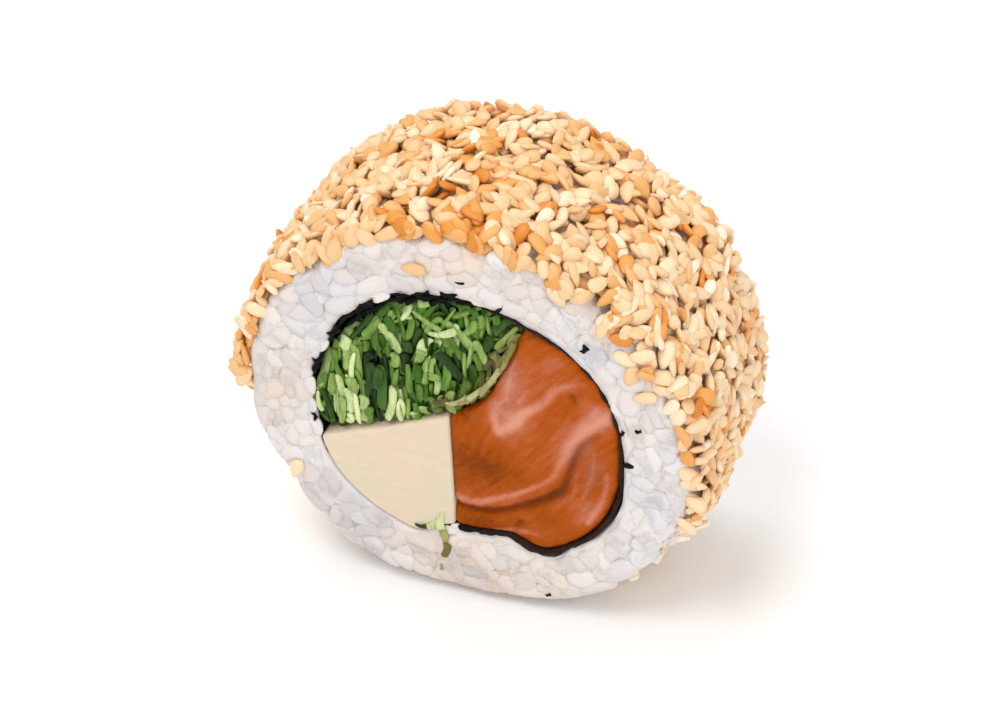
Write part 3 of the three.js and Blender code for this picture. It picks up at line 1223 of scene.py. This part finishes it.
# Spots of deeply toasted seeds: the angle, the place along the roll, the reach.
TOASTED_SPOTS = [
    (108, 3.2, 1.1), (98, -5.7, 1.2), (104, -9.4, 0.9), (87, -8.6, 1.0), (73, -4.0, 1.0),
    (16, -7.4, 1.3), (38, -6.5, 0.9), (172, 7.0, 1.0),
]


def seed_tone(draw, place):
    """From pale to deeply toasted. Toasted seeds come in spots and loose patches."""
    angle, radius = polar(place[0], place[2])
    patch = unevenness(place, 9, 71, 2)
    if draw.random() < TOASTED_SHARE * (1 + 1.2 * patch):
        return draw.uniform(0.68, 0.95)
    for at, along, reach in TOASTED_SPOTS:
        arc = math.radians(turns_apart(angle, at)) * radius
        if math.hypot(arc, place[1] - along) < reach:
            return draw.uniform(0.72, 1.0)
    low = smooth_step(-place[2], 5, 14) * 0.22
    right = 0.07 * math.exp(-(turns_apart(angle, 15) / 40) ** 2)
    return np.clip(draw.normal(0.43, 0.13) - low - right + 0.1 * patch, 0.02, 0.7)


def edge_of_seeds(across):
    """How far along the roll, and on round its edge, the seeds go."""
    angle = np.degrees(across / COAT_RADIUS)
    return FLAT_HALF + EDGE_ROUND * bulged(EDGE_REACH, EDGE_REACH_MORE, angle)


def bareness(across, along):
    """From 0 to 1, how bare the side is by the lower part of the cuts."""
    angle = np.degrees(across / COAT_RADIUS) % 360
    below = smooth_step(angle, *BARE_FROM) * (1 - smooth_step(angle, *BARE_TO))
    wavy = BARE_WAVES * np.sin(0.6 * across + 2 * np.sin(0.23 * across) + np.sign(along))
    return below * smooth_step(np.abs(along) + wavy, *(HALF - within for within in BARE_WITHIN))


def seed_bed(rice_bed):
    """The bed for the seeds: as uneven as the rice on the side, and flat round its edges."""
    reach = FLAT_HALF + EDGE_ROUND * math.pi / 2
    bed = Bed((0, -reach), (GIRTH, reach), wraps=True)
    rows, columns = bed.height.shape
    across, along = np.meshgrid(np.arange(columns) * CELL, np.arange(rows) * CELL - reach)
    on_rice = rice_bed.height[rice_bed.cells(across, along)] - (SIDE_BED_BELOW - SEED_BED_BELOW)
    bed.height[:] = np.where(np.abs(along) < FLAT_HALF, np.clip(on_rice, *SEED_BED_RANGE), 0)
    return bed


def side_seeds(laid, draw, rice_bed):
    """Seeds over the side and most of the way round its edges, on top of the rice."""
    bed = seed_bed(rice_bed)
    surface = Side(SEED_BED_BELOW)
    for _ in range(SEEDS):
        size = draw.uniform(SEED_LOW, SEED_HIGH)
        turn = draw.uniform(0, 2 * math.pi, TRIES)
        x = draw.uniform(0, GIRTH, TRIES)
        y = draw.uniform(-1, 1, TRIES) * edge_of_seeds(x)
        thin = thinness(np.array([surface.place(*spot) for spot in zip(x, y)]))
        kept = draw.random(TRIES) > np.maximum(0.9 * thin, bareness(x, y))
        if not kept.any():
            continue
        spots = (values[kept] for values in (x, y, turn))
        lean = draw.normal(0, SEED_LEAN, 2)
        ceiling = SEED_BED_BELOW + SEEDS_PROUD
        lying = bed.lay(*spots, size, steepest=0.9, ceiling=ceiling, lean=lean)
        put(laid, surface, lying, size, tone=seed_tone(draw, surface.place(*lying[:2])))


# Seeds that the knife carried onto the cut faces: x, z, turn, tone.
STRAY_SEEDS = [
    (-4.0, 17.6, 4, 0.5), (-14.0, 16.2, 50, 0.9), (9.6, 17.6, 120, 0.3),
    (16.4, 10.2, 70, 0.45), (17.6, 8.0, 20, 0.3), (15.9, 11.9, 150, 0.2),
    (-17.6, -9.2, 70, 0.25),
]
STRAY_SEED = (2.6, 1.5, 0.7)


def stray_seeds(laid, facing):
    """Seeds here and there on the rice of a cut."""
    for x, z, turn, tone in STRAY_SEEDS:
        turn = math.radians(turn)
        lies = {"rise": 0.15, "slopes": (0.05, 0.15)}
        put_on_cut(laid, facing, (x, z), turn, STRAY_SEED, **lies, tone=tone)


SEED_GROUND_GAP = 0.02  # between the seeds underneath and the ground


def on_the_ground(places):
    """Seeds underneath are pressed flat on the ground."""
    x, y, z = places.T
    return np.stack([x, y, np.maximum(z, SEED_GROUND_GAP - AXIS_HEIGHT)], -1)


# ---- Nori ----

NORI_STEPS = 520  # places of its mesh along it
NORI_ROWS = 20  # and across each side of it


def nori_sheet():
    """One strip, wound clockwise, crinkled and with ragged cut edges."""
    turned = np.linspace(0, 360 + NORI_WRAP, NORI_STEPS)[:, None]
    angle = NORI_START - turned
    arc = np.radians(turned) * FILLING_RADIUS
    share = np.concatenate([np.linspace(-1, 1, NORI_ROWS), np.linspace(1, -1, NORI_ROWS)])[None, :]
    side = np.repeat([1, -1], NORI_ROWS)[None, :]
    torn = bulged(0.3, NORI_TORN, angle % 360)
    waves = unevenness(np.concatenate([arc, 0 * arc], 1), 2.4, 11, 4)[:, None]
    ragged = waves * (0.15 + 0.5 * torn)
    hidden = bulged(0.05, NORI_BACK, angle % 360)
    y = share * (HALF - hidden + ragged)
    along = np.broadcast_to(arc, y.shape)
    crinkle = (0.04 + 0.1 * torn) * unevenness(np.stack([along, y], -1), 3.2, 12, 3)
    thin_edge = 1 - 0.45 * np.abs(share) ** 12
    radius = nori_radius(turned) + crinkle + side * nori_thickness(angle) / 2 * thin_edge
    section = around(angle + 0 * radius, radius)
    rows = np.stack([section[..., 0], y, section[..., 1]], -1)
    places, faces = capped(rows)
    brown = np.clip(bulged(0, NORI_BROWN, polar(places[:, 0], places[:, 2])[0]), 0, 1)
    return shown("nori_sheet", closed_mesh("nori_sheet", to_frame(places), faces, brown=brown))


# Torn bits of nori on the cut faces: x, z, length, width, turn.
FLECKS = [
    (12.0, 12.2, 1.1, 0.8, 70), (17.0, 3.9, 0.6, 0.5, 20), (16.0, -0.5, 1.9, 0.9, 12),
    (15.3, 3.0, 0.7, 0.5, 60), (3.7, 14.4, 2.4, 0.5, 55), (-0.8, 15.1, 1.7, 0.8, 8),
    (-3.4, 14.7, 1.5, 0.8, 20), (-8.8, 12.4, 1.7, 0.9, 38), (-12.4, 8.6, 1.8, 0.9, 55),
    (-14.7, 4.0, 1.5, 0.8, 80), (-15.3, -2.4, 0.9, 0.5, 100), (7.9, -18.7, 0.5, 0.4, 40),
    (0.4, 17.0, 0.9, 0.3, 8),
]
FLECK_THICK = 0.35


def nori_flecks(finish, draw):
    laid = Laid()
    for facing in (-1, 1):
        for x, z, length, width, turn in FLECKS:
            turn = turned_on_cut(facing, turn)
            size = (length, width, FLECK_THICK)
            lies = {"rise": 0.08, "slopes": (0.05, 0.1)}
            put_on_cut(laid, facing, (x, z), turn, size, **lies, brown=0.0)
    return laid_out("nori_flecks", laid, fleck, FLECK_SHAPES, finish, draw)


# ---- Fillings ----

EDGE_STEPS = 6  # from a filling's cut round to its side


def plug_rows(outline, stand, rounding, rings, side_rows):
    """Rows of loops over a filling: its front cut from the middle out, its side, its back cut.

    The stand function gives how far out the cut stands at places x and z, from HALF.
    """
    middle = outline.mean(0)
    inner = eased(drawn_in(outline, rounding), INNER_EASE)
    shares = np.linspace(0, 1, rings + 1)[1:]
    loops = [middle + (inner - middle) * share for share in shares]
    falls = [0.0] * rings
    for turn in np.radians(np.linspace(0, 90, EDGE_STEPS))[1:]:
        loops.append(inner + (outline - inner) * math.sin(turn))
        falls.append(rounding * (1 - math.cos(turn)))
    cut = []
    for (x, z), fall in zip((loop.T for loop in loops), falls):
        cut.append(np.stack([x, -(HALF + stand(x, z) - fall), z], -1))
    front = np.array(cut)
    back = front * (1, -1, 1)
    shares = np.linspace(0, 1, side_rows + 2)[1:-1, None, None]
    side = front[-1] * (1 - shares) + back[-1] * shares
    return np.concatenate([front, side, back[::-1]])


def filling(name, rows, **attributes):
    """A closed piece over rows of loops. Each attribute is a function of its places."""
    places, faces = capped(rows)
    made = {key: value(places) for key, value in attributes.items()}
    return shown(name, closed_mesh(name, to_frame(places), faces, **made))


def cheese_block():
    outline = filling_outline(CHEESE_GREENS, CHEESE_SALMON, count=220)

    def stand(x, z):
        places = np.stack([x, z], -1)
        drag = unevenness(places * (0.4, 1.2), 1.6, 31, 2)
        return -0.12 + 0.05 * unevenness(places, 5, 32, 1) + 0.02 * drag

    rows = plug_rows(outline, stand, rounding=0.35, rings=36, side_rows=12)
    return filling("cheese_block", rows)


# The salmon's pale lines of fat: places along each (x, z), its half width there, how pale.
FAT_LINES = [
    ([(12.4, 8.0), (10.6, 7.5), (9.0, 6.7), (8.0, 5.1), (6.1, 3.4), (4.6, 1.6), (3.6, 0.9)],
     [0.3, 0.5, 0.55, 0.55, 0.65, 1.0, 0.6], [0.2, 0.4, 0.55, 0.6, 0.9, 1.0, 0.8]),
    ([(3.6, 0.7), (3.1, 2.0), (3.3, 3.2), (4.2, 4.8)], [0.7, 0.6, 0.5, 0.3], [0.9, 0.7, 0.5, 0.2]),
    ([(5.2, 9.2), (4.6, 6.6), (4.4, 4.6)], [0.2, 0.3, 0.3], [0.3, 0.5, 0.5]),
    ([(3.7, 7.4), (3.2, 5.2)], [0.25, 0.25], [0.4, 0.3]),
    ([(6.4, 6.2), (5.6, 4.6)], [0.25, 0.25], [0.3, 0.4]),
    ([(14.2, 4.6), (13.0, 3.7), (11.6, 2.4), (10.4, 0.5), (9.6, -1.4), (8.5, -3.8), (6.5, -5.6),
      (4.0, -7.2), (1.0, -8.7), (-1.0, -8.8)],
     [0.9, 0.95, 0.8, 0.55, 0.4, 0.35, 0.4, 0.45, 0.55, 0.7],
     [0.7, 0.9, 0.8, 0.6, 0.5, 0.5, 0.6, 0.6, 0.6, 0.6]),
    ([(12.7, 0.6), (12.5, -2.6), (11.6, -5.4)], [0.25, 0.3, 0.25], [0.3, 0.45, 0.3]),
    ([(13.9, -2.2), (13.5, -5.2), (12.0, -8.6)], [0.3, 0.4, 0.4], [0.4, 0.5, 0.6]),
    ([(10.9, -2.6), (10.6, -5.4), (9.6, -7.0)], [0.2, 0.25, 0.2], [0.25, 0.35, 0.2]),
    ([(2.8, -12.0), (4.8, -11.6), (6.8, -11.3)], [0.4, 0.4, 0.35], [0.4, 0.5, 0.4]),
]
# Its creases, in the same terms. They dent the flesh and are darkened with painted shade.
CREASES = [
    ([(13.2, 2.4), (11.9, 1.2), (10.9, -0.6), (10.1, -3.4), (9.2, -5.6), (6.8, -7.4), (5.0, -8.5),
      (2.5, -9.7), (0.0, -10.0), (-1.3, -9.9)],
     [0.4, 0.45, 0.45, 0.5, 0.65, 0.6, 0.5, 0.5, 0.5, 0.4],
     [0.2, 0.4, 0.6, 0.7, 1.0, 1.0, 0.9, 0.9, 1.0, 0.8]),
    ([(10.6, 6.2), (11.0, 5.2)], [0.4, 0.4], [0.6, 0.3]),
    ([(9.6, 12.0), (8.0, 12.4), (6.6, 12.0)], [0.5, 0.5, 0.4], [0.7, 0.7, 0.5]),
    ([(-0.6, 1.6), (0.4, 0.8)], [0.4, 0.4], [0.5, 0.3]),
    ([(5.2, -10.4), (4.6, -11.4)], [0.4, 0.4], [0.6, 0.6]),
]
# Where the flesh is lighter and pinker (above 0) or deeper (below 0): x, z, two reaches, by.
FLESH_PLACES = [
    (8.0, 9.6, 3.0, 2.4, 0.18), (4.6, 6.4, 1.6, 2.6, 0.38), (3.2, 3.4, 1.2, 1.4, 0.3),
    (13.2, 4.8, 1.8, 1.5, 0.36), (1.6, -4.2, 3.0, 3.4, -0.34), (5.6, -4.6, 1.6, 1.4, -0.12),
    (12.6, -1.8, 1.8, 3.2, 0.14), (11.8, -7.2, 1.2, 1.6, 0.22), (8.0, -8.9, 2.2, 1.4, -0.16),
    (1.6, -11.2, 2.6, 1.2, -0.38), (10.4, 4.4, 1.2, 1.6, -0.1),
]
# Where it is brownish, in the same terms.
FLAKE_SHADES = [(12.5, -2.2, 1.8, 3.8, 0.42), (9.4, -9.6, 2.4, 1.2, 0.14)]
LINE_STEPS = 80  # places along each soft line


def nearness(x, z, lines, wider=1.0):
    """As strong as the nearest of some soft lines, falling to 0 beyond its half width."""
    nearest = np.zeros(np.shape(x))
    shares = np.linspace(0, 1, LINE_STEPS)
    for path, widths, strengths in lines:
        spread = wider * np.interp(shares, np.linspace(0, 1, len(widths)), widths)
        strong = np.interp(shares, np.linspace(0, 1, len(strengths)), strengths)
        for (along, up), width, strength in zip(smooth_line(path, LINE_STEPS), spread, strong):
            apart = ((x - along) ** 2 + (z - up) ** 2) / width ** 2
            nearest = np.maximum(nearest, strength * np.exp(-apart))
    return nearest


def apart_from(x, z, lines):
    """The distance to the nearest of some lines, a little wavy."""
    places = np.concatenate([smooth_line(path, LINE_STEPS) for path, _, _ in lines])
    wavy = 0.4 * unevenness(np.stack([x, z], -1), 3.0, 45, 3)
    return np.min([np.hypot(x - along, z - up) for along, up in places], axis=0) + wavy


def flesh_tone(x, z, share):
    """Pinker by the fat lines and deeper by the fillet's outer edge."""
    halo = 0.24 * nearness(x, z, FAT_LINES, 2.4)
    return tinted(x, z, 0.38, FLESH_PLACES) + halo - 0.3 * share ** 12


def salmon_fillet():
    outline = filling_outline(CHEESE_SALMON, SALMON_GREENS, count=300)
    middle, reach = reach_of(outline)

    def share_out(x, z):
        angle, radius = polar(x - middle[0], z - middle[1])
        return np.clip(radius / reach(angle), 0, 1)

    def stand(x, z):
        share = share_out(x, z)
        domed = 0.3 * (1 - np.exp(-apart_from(x, z, CREASES) / 1.4))
        lined = 0.06 * nearness(x, z, FAT_LINES) - 0.3 * nearness(x, z, CREASES)
        rough = 0.05 * unevenness(np.stack([x, z], -1), 1.5, 41, 3)
        return -0.15 - 0.45 * share ** 5 + domed + lined + rough

    rows = plug_rows(outline, stand, rounding=0.5, rings=58, side_rows=14)
    return filling(
        "salmon_fillet", rows,
        fat=lambda p: nearness(p[:, 0], p[:, 2], FAT_LINES),
        crease=lambda p: tinted(p[:, 0], p[:, 2], nearness(p[:, 0], p[:, 2], CREASES), FLAKE_SHADES),
        flow=lambda p: apart_from(p[:, 0], p[:, 2], FAT_LINES),
        tone=lambda p: flesh_tone(p[:, 0], p[:, 2], share_out(p[:, 0], p[:, 2])),
    )


# ---- Greens ----

GREENS_DEEP = 2.0  # the depth of the core and of the lowest shreds
CHOPPED = (5, 10)  # from the first height up the shreds lie shorter and less straight
SHREDS = 480
SHRED_LOW = (1.6, 0.45, 0.25)  # least length, width and thickness
SHRED_HIGH = (5.0, 1.15, 0.5)
# Where the shreds are light or dark: x, z, reach in x and in z, by.
GREEN_PLACES = [
    (-11.0, -0.4, 0.9, 2.8, 0.55), (-12.3, 0.2, 0.8, 2.0, 0.2), (-11.6, 5.8, 0.9, 2.0, 0.4),
    (-9.0, 6.0, 0.9, 2.8, -0.5), (-9.0, 1.4, 0.9, 2.6, -0.45), (-7.2, 8.2, 1.0, 1.5, 0.45),
    (-6.5, 0.2, 0.8, 1.8, 0.45), (-5.4, 7.0, 0.7, 2.0, -0.4), (-5.2, 12.2, 1.8, 1.0, 0.38),
    (-2.2, 10.0, 1.2, 1.1, 0.36), (0.5, 12.0, 1.6, 0.8, 0.08), (-4.0, 9.8, 0.8, 0.9, -0.3),
    (-4.1, 4.8, 0.7, 2.4, 0.25), (-1.2, 6.3, 0.8, 2.0, -0.3), (3.0, 11.0, 1.4, 0.9, 0.3),
    (-1.5, 13.7, 1.8, 0.9, -0.4), (3.6, 12.9, 1.5, 0.9, -0.3), (-14.0, -3.0, 1.6, 1.2, -0.4),
    (-9.5, 11.0, 1.4, 1.4, -0.2), (2.4, 7.6, 1.2, 1.4, -0.2),
]
# The slivers that stand out: x, z, length, width, turn, tone, dryness.
SLIVERS = [
    (-10.9, -0.6, 4.2, 0.8, 92, 1.0, 0.0), (-11.4, 0.8, 3.4, 0.7, 88, 0.9, 0.0),
    (-12.3, -0.8, 3.6, 0.7, 82, 0.7, 0.0), (-6.5, 0.4, 2.8, 0.7, 88, 0.92, 0.0),
    (-2.2, 2.6, 1.8, 0.8, 20, 0.15, 0.9), (2.6, 8.0, 1.8, 0.8, 60, 0.1, 0.9),
    (-0.6, 3.1, 2.6, 0.6, 26, 0.85, 0.9), (0.5, 3.6, 2.4, 0.6, 34, 0.65, 0.9),
    (1.6, 4.8, 2.8, 0.6, 44, 0.9, 0.8), (2.5, 5.6, 2.4, 0.6, 52, 0.7, 0.9),
    (3.3, 7.0, 2.6, 0.6, 60, 0.85, 0.9), (4.2, 8.6, 2.2, 0.6, 66, 0.6, 0.8),
    (4.9, 10.2, 2.2, 0.6, 70, 0.5, 0.7),
]
# Greens that lie on the rice under the cheese, in the same terms.
STRAY_GREENS = [
    (-2.9, -12.3, 2.4, 1.1, 84, 1.0, 0.4), (-3.7, -12.8, 1.8, 0.9, 48, 0.9, 0.3),
    (-2.6, -14.2, 2.2, 0.9, 96, 0.7, 0.7), (-2.4, -15.6, 1.8, 0.9, 76, 0.35, 0.9),
    (-4.9, -13.3, 1.5, 0.5, 8, 0.12, 0.1), (-3.0, -17.9, 0.9, 0.4, 88, 0.7, 1.0),
]
SLIVER_THICK = 0.5
STRAY_THICK = 0.35
SHRED_MARGIN = 0.15  # from a shred's end to the bundle's outline
SHRED_HALF = 0.46  # the share of its length from its middle to where that end is measured
SHRED_TURN = 88  # degrees, nearly upright
SHRED_SPREAD = (9, 32)  # of the turns, and how much more of it where the shreds are chopped
CHOPPED_SHORTER = 0.6
CHOPPED_WIDER = 0.25
SHREDS_PROUD = 0.5  # by which they may stand out of the cut
SLIVERS_PROUD = 0.6


def greens_outline():
    return filling_outline(SALMON_GREENS, CHEESE_GREENS, count=200)


def greens_core():
    """The inside of the bundle, which the shreds hide."""
    outline = drawn_in(greens_outline(), 0.25)

    def stand(x, z):
        return -GREENS_DEEP + 0.3 * unevenness(np.stack([x, z], -1), 1.6, 51, 3)

    rows = plug_rows(outline, stand, rounding=0.3, rings=24, side_rows=10)
    # The core's tone is dark: painted shade for the gaps between the shreds.
    return filling(
        "greens_core", rows,
        tone=lambda p: np.clip(0.12 + 0.12 * unevenness(p, 2, 52), 0, 1),
        dry=lambda p: 0 * p[:, 0],
    )


def green_tone(draw, x, z, share):
    """Painted shade: lighter for shreds laid late, which lie on top, darker for those laid early,
    which lie below. With the light and dark places of the bundle.
    """
    start = draw.normal(0.44, 0.18) + 0.25 * (share - 0.5)
    return float(np.clip(tinted(x, z, start, GREEN_PLACES), 0, 1))


def dryness(x, z, draw):
    """Olive shreds lie along the salmon."""
    line = parting_line(SALMON_GREENS, 30)
    apart = np.hypot(line[:, 0] - x, line[:, 1] - z).min()
    return float(np.clip(math.exp(-(apart / 1.3) ** 2) * draw.uniform(0.5, 1.3), 0, 1))


def shred_spots(draw):
    """A shred's size, and spots and turns where it lies within the bundle's outline."""
    middle, reach = reach_of(greens_outline())

    def inside(x, z):
        angle, radius = polar(x - middle[0], z - middle[1])
        return radius < reach(angle) - SHRED_MARGIN

    while True:
        size = draw.uniform(SHRED_LOW, SHRED_HIGH)
        angle = draw.uniform(0, 360, 6 * TRIES)
        radius = np.sqrt(draw.uniform(0, 1, 6 * TRIES)) * reach(angle)
        x, z = (middle + around(angle, radius)).T
        above = smooth_step(z, *CHOPPED)
        size = size * (1 - CHOPPED_SHORTER * above[0], 1 + CHOPPED_WIDER * above[0], 1)
        turn = np.radians(draw.normal(SHRED_TURN, SHRED_SPREAD[0] + SHRED_SPREAD[1] * above))
        away = np.stack([np.cos(turn), np.sin(turn)]) * size[0] * SHRED_HALF
        fits = inside(x + away[0], z + away[1]) & inside(x - away[0], z - away[1])
        if fits.any():
            yield size, *(values[fits][:TRIES] for values in (x, z, turn))


def cut_shreds(laid, draw, facing):
    """Shreds that come out of the bundle and lie up and down over its cut."""
    bed = Bed((-COAT_RADIUS, -COAT_RADIUS), (COAT_RADIUS, COAT_RADIUS))
    surface = Cut(facing, GREENS_DEEP)
    for i, (size, x, z, turn) in zip(range(SHREDS), shred_spots(draw)):
        turned = turn if facing < 0 else math.pi - turn
        ceiling = GREENS_DEEP + SHREDS_PROUD
        lying = bed.lay(-facing * x, z, turned, size, steepest=0.5, ceiling=ceiling)
        here = (-facing * lying[0], lying[1])
        tone = green_tone(draw, *here, i / SHREDS)
        put(laid, surface, lying, size, tone=tone, dry=dryness(*here, draw))
    for x, z, length, width, turn, tone, dry in SLIVERS:
        spot = (np.array([value]) for value in (-facing * x, z, turned_on_cut(facing, turn)))
        size = (length, width, SLIVER_THICK)
        lying = bed.lay(*spot, size, steepest=0.3, ceiling=GREENS_DEEP + SLIVERS_PROUD)
        put(laid, surface, lying, size, tone=tone, dry=dry)


def stray_greens(laid, facing):
    for x, z, length, width, turn, tone, dry in STRAY_GREENS:
        turn = turned_on_cut(facing, turn)
        size = (length, width, STRAY_THICK)
        lies = {"rise": 0.05, "slopes": (0.0, 0.1)}
        put_on_cut(laid, facing, (x, z), turn, size, **lies, tone=tone, dry=dry)


# ---- Camera, light and floor ----

VIEW_AZIMUTH = 21  # degrees from the front, to the right
VIEW_ELEVATION = 38
VIEW_ROLL = 2.4
VIEW_DISTANCE = 0.265  # metres from the middle of the piece
VIEW_LENS = 100
VIEW_SENSOR = 36
# Soft lights: the name, its place, its size, its power, its colour.
LIGHTS = [
    ("key", (-0.12, -0.25, 0.6), 0.3, 1.4, (1.0, 0.985, 0.97)),
    ("fill", (0.5, -0.4, 0.35), 0.5, 1.1, (0.99, 0.99, 1.0)),
    ("top", (-0.15, 0.15, 0.6), 0.4, 0.9, (1.0, 1.0, 1.0)),
]
LIT_PLACE = (0, 0, 0.02)
SKY_STRENGTH = 0.72
FLOOR_RADIUS = 1.5
FLOOR_SIDES = 64


def camera():
    data = bpy.data.cameras.new("camera")
    data.lens = VIEW_LENS
    data.sensor_width = VIEW_SENSOR
    seen = shown("camera", data)
    azimuth, elevation = math.radians(VIEW_AZIMUTH), math.radians(VIEW_ELEVATION)
    back = Vector((
        math.sin(azimuth) * math.cos(elevation),
        -math.cos(azimuth) * math.cos(elevation),
        math.sin(elevation),
    ))
    low, high = cad_box
    seen.location = (low + high) / 2 + back * VIEW_DISTANCE
    level = back.to_track_quat("Z", "Y")
    seen.rotation_euler = (level @ Quaternion((0, 0, 1), -math.radians(VIEW_ROLL))).to_euler()
    data.clip_start, data.clip_end = 0.01, 10
    bpy.context.scene.camera = seen


def soft_light(name, place, size, power, color):
    data = bpy.data.lights.new(name, "AREA")
    data.shape = "DISK"
    data.size = size
    data.energy = power
    data.color = color
    light = shown(name, data)
    light.location = place
    light.rotation_euler = (Vector(place) - Vector(LIT_PLACE)).to_track_quat("Z", "Y").to_euler()


def studio():
    world = bpy.data.worlds.new("studio")
    bpy.context.scene.world = world
    world.use_nodes = True
    sky = world.node_tree.nodes["Background"]
    sky.inputs["Color"].default_value = (1.0, 1.0, 1.0, 1)
    sky.inputs["Strength"].default_value = SKY_STRENGTH
    for light in LIGHTS:
        soft_light(*light)
    bpy.context.scene.view_settings.view_transform = "Standard"


def floor():
    turns = np.linspace(0, 2 * math.pi, FLOOR_SIDES, endpoint=False)
    rim = [(FLOOR_RADIUS * math.cos(t), FLOOR_RADIUS * math.sin(t), 0) for t in turns]
    mesh = bpy.data.meshes.new("floor")
    mesh.from_pydata(rim, [], [tuple(range(FLOOR_SIDES))])
    mesh.materials.append(floor_finish())
    made = shown("floor", mesh)
    made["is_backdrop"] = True


# ---- The piece ----

def carried(piece, finish=None, replaces=None):
    """The piece rides on the roll, and takes its finish and its node's place."""
    if finish is not None:
        piece.data.materials.clear()
        piece.data.materials.append(finish)
    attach(piece, "root")
    if replaces:
        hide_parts(replaces)


RICE_DRAW = 7  # these two start the random draws
FILLINGS_DRAW = 23


def rice_and_seeds():
    draw = np.random.default_rng(RICE_DRAW)
    grains = Laid()
    bed = side_rice(grains, draw)
    for facing in (-1, 1):
        cut_rice(grains, draw, facing)
        grains_over(grains, draw, facing)
    edge_rice(grains)
    piece = laid_out("rice_grains", grains, grain, GRAIN_SHAPES, rice_finish(), draw)
    reshape(piece, pressed_flat)
    carried(piece)
    carried(rice_core(), rice_core_finish(), "rice")
    seeds = Laid()
    side_seeds(seeds, draw, bed)
    stray_seeds(seeds, -1)
    stray_seeds(seeds, 1)
    piece = laid_out("sesame_seeds", seeds, sesame_seed, SEED_SHAPES, sesame_finish(), draw)
    reshape(piece, on_the_ground)
    carried(piece)


def wrap_and_fillings():
    draw = np.random.default_rng(FILLINGS_DRAW)
    nori = nori_finish()
    carried(nori_sheet(), nori, "nori")
    carried(nori_flecks(nori, draw))
    greens = greens_finish()
    carried(greens_core(), greens, "greens")
    shreds = Laid()
    for facing in (-1, 1):
        cut_shreds(shreds, draw, facing)
        stray_greens(shreds, facing)
    carried(laid_out("green_shreds", shreds, shred, SHRED_SHAPES, greens, draw))
    carried(cheese_block(), cheese_finish(), "cream_cheese")
    carried(salmon_fillet(), salmon_finish(), "salmon")


camera()
studio()
floor()
rice_and_seeds()
wrap_and_fillings()

boxes = {"cad": cad_box, "visual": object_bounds()}
{name: [list(corner) for corner in box] for name, box in boxes.items()}
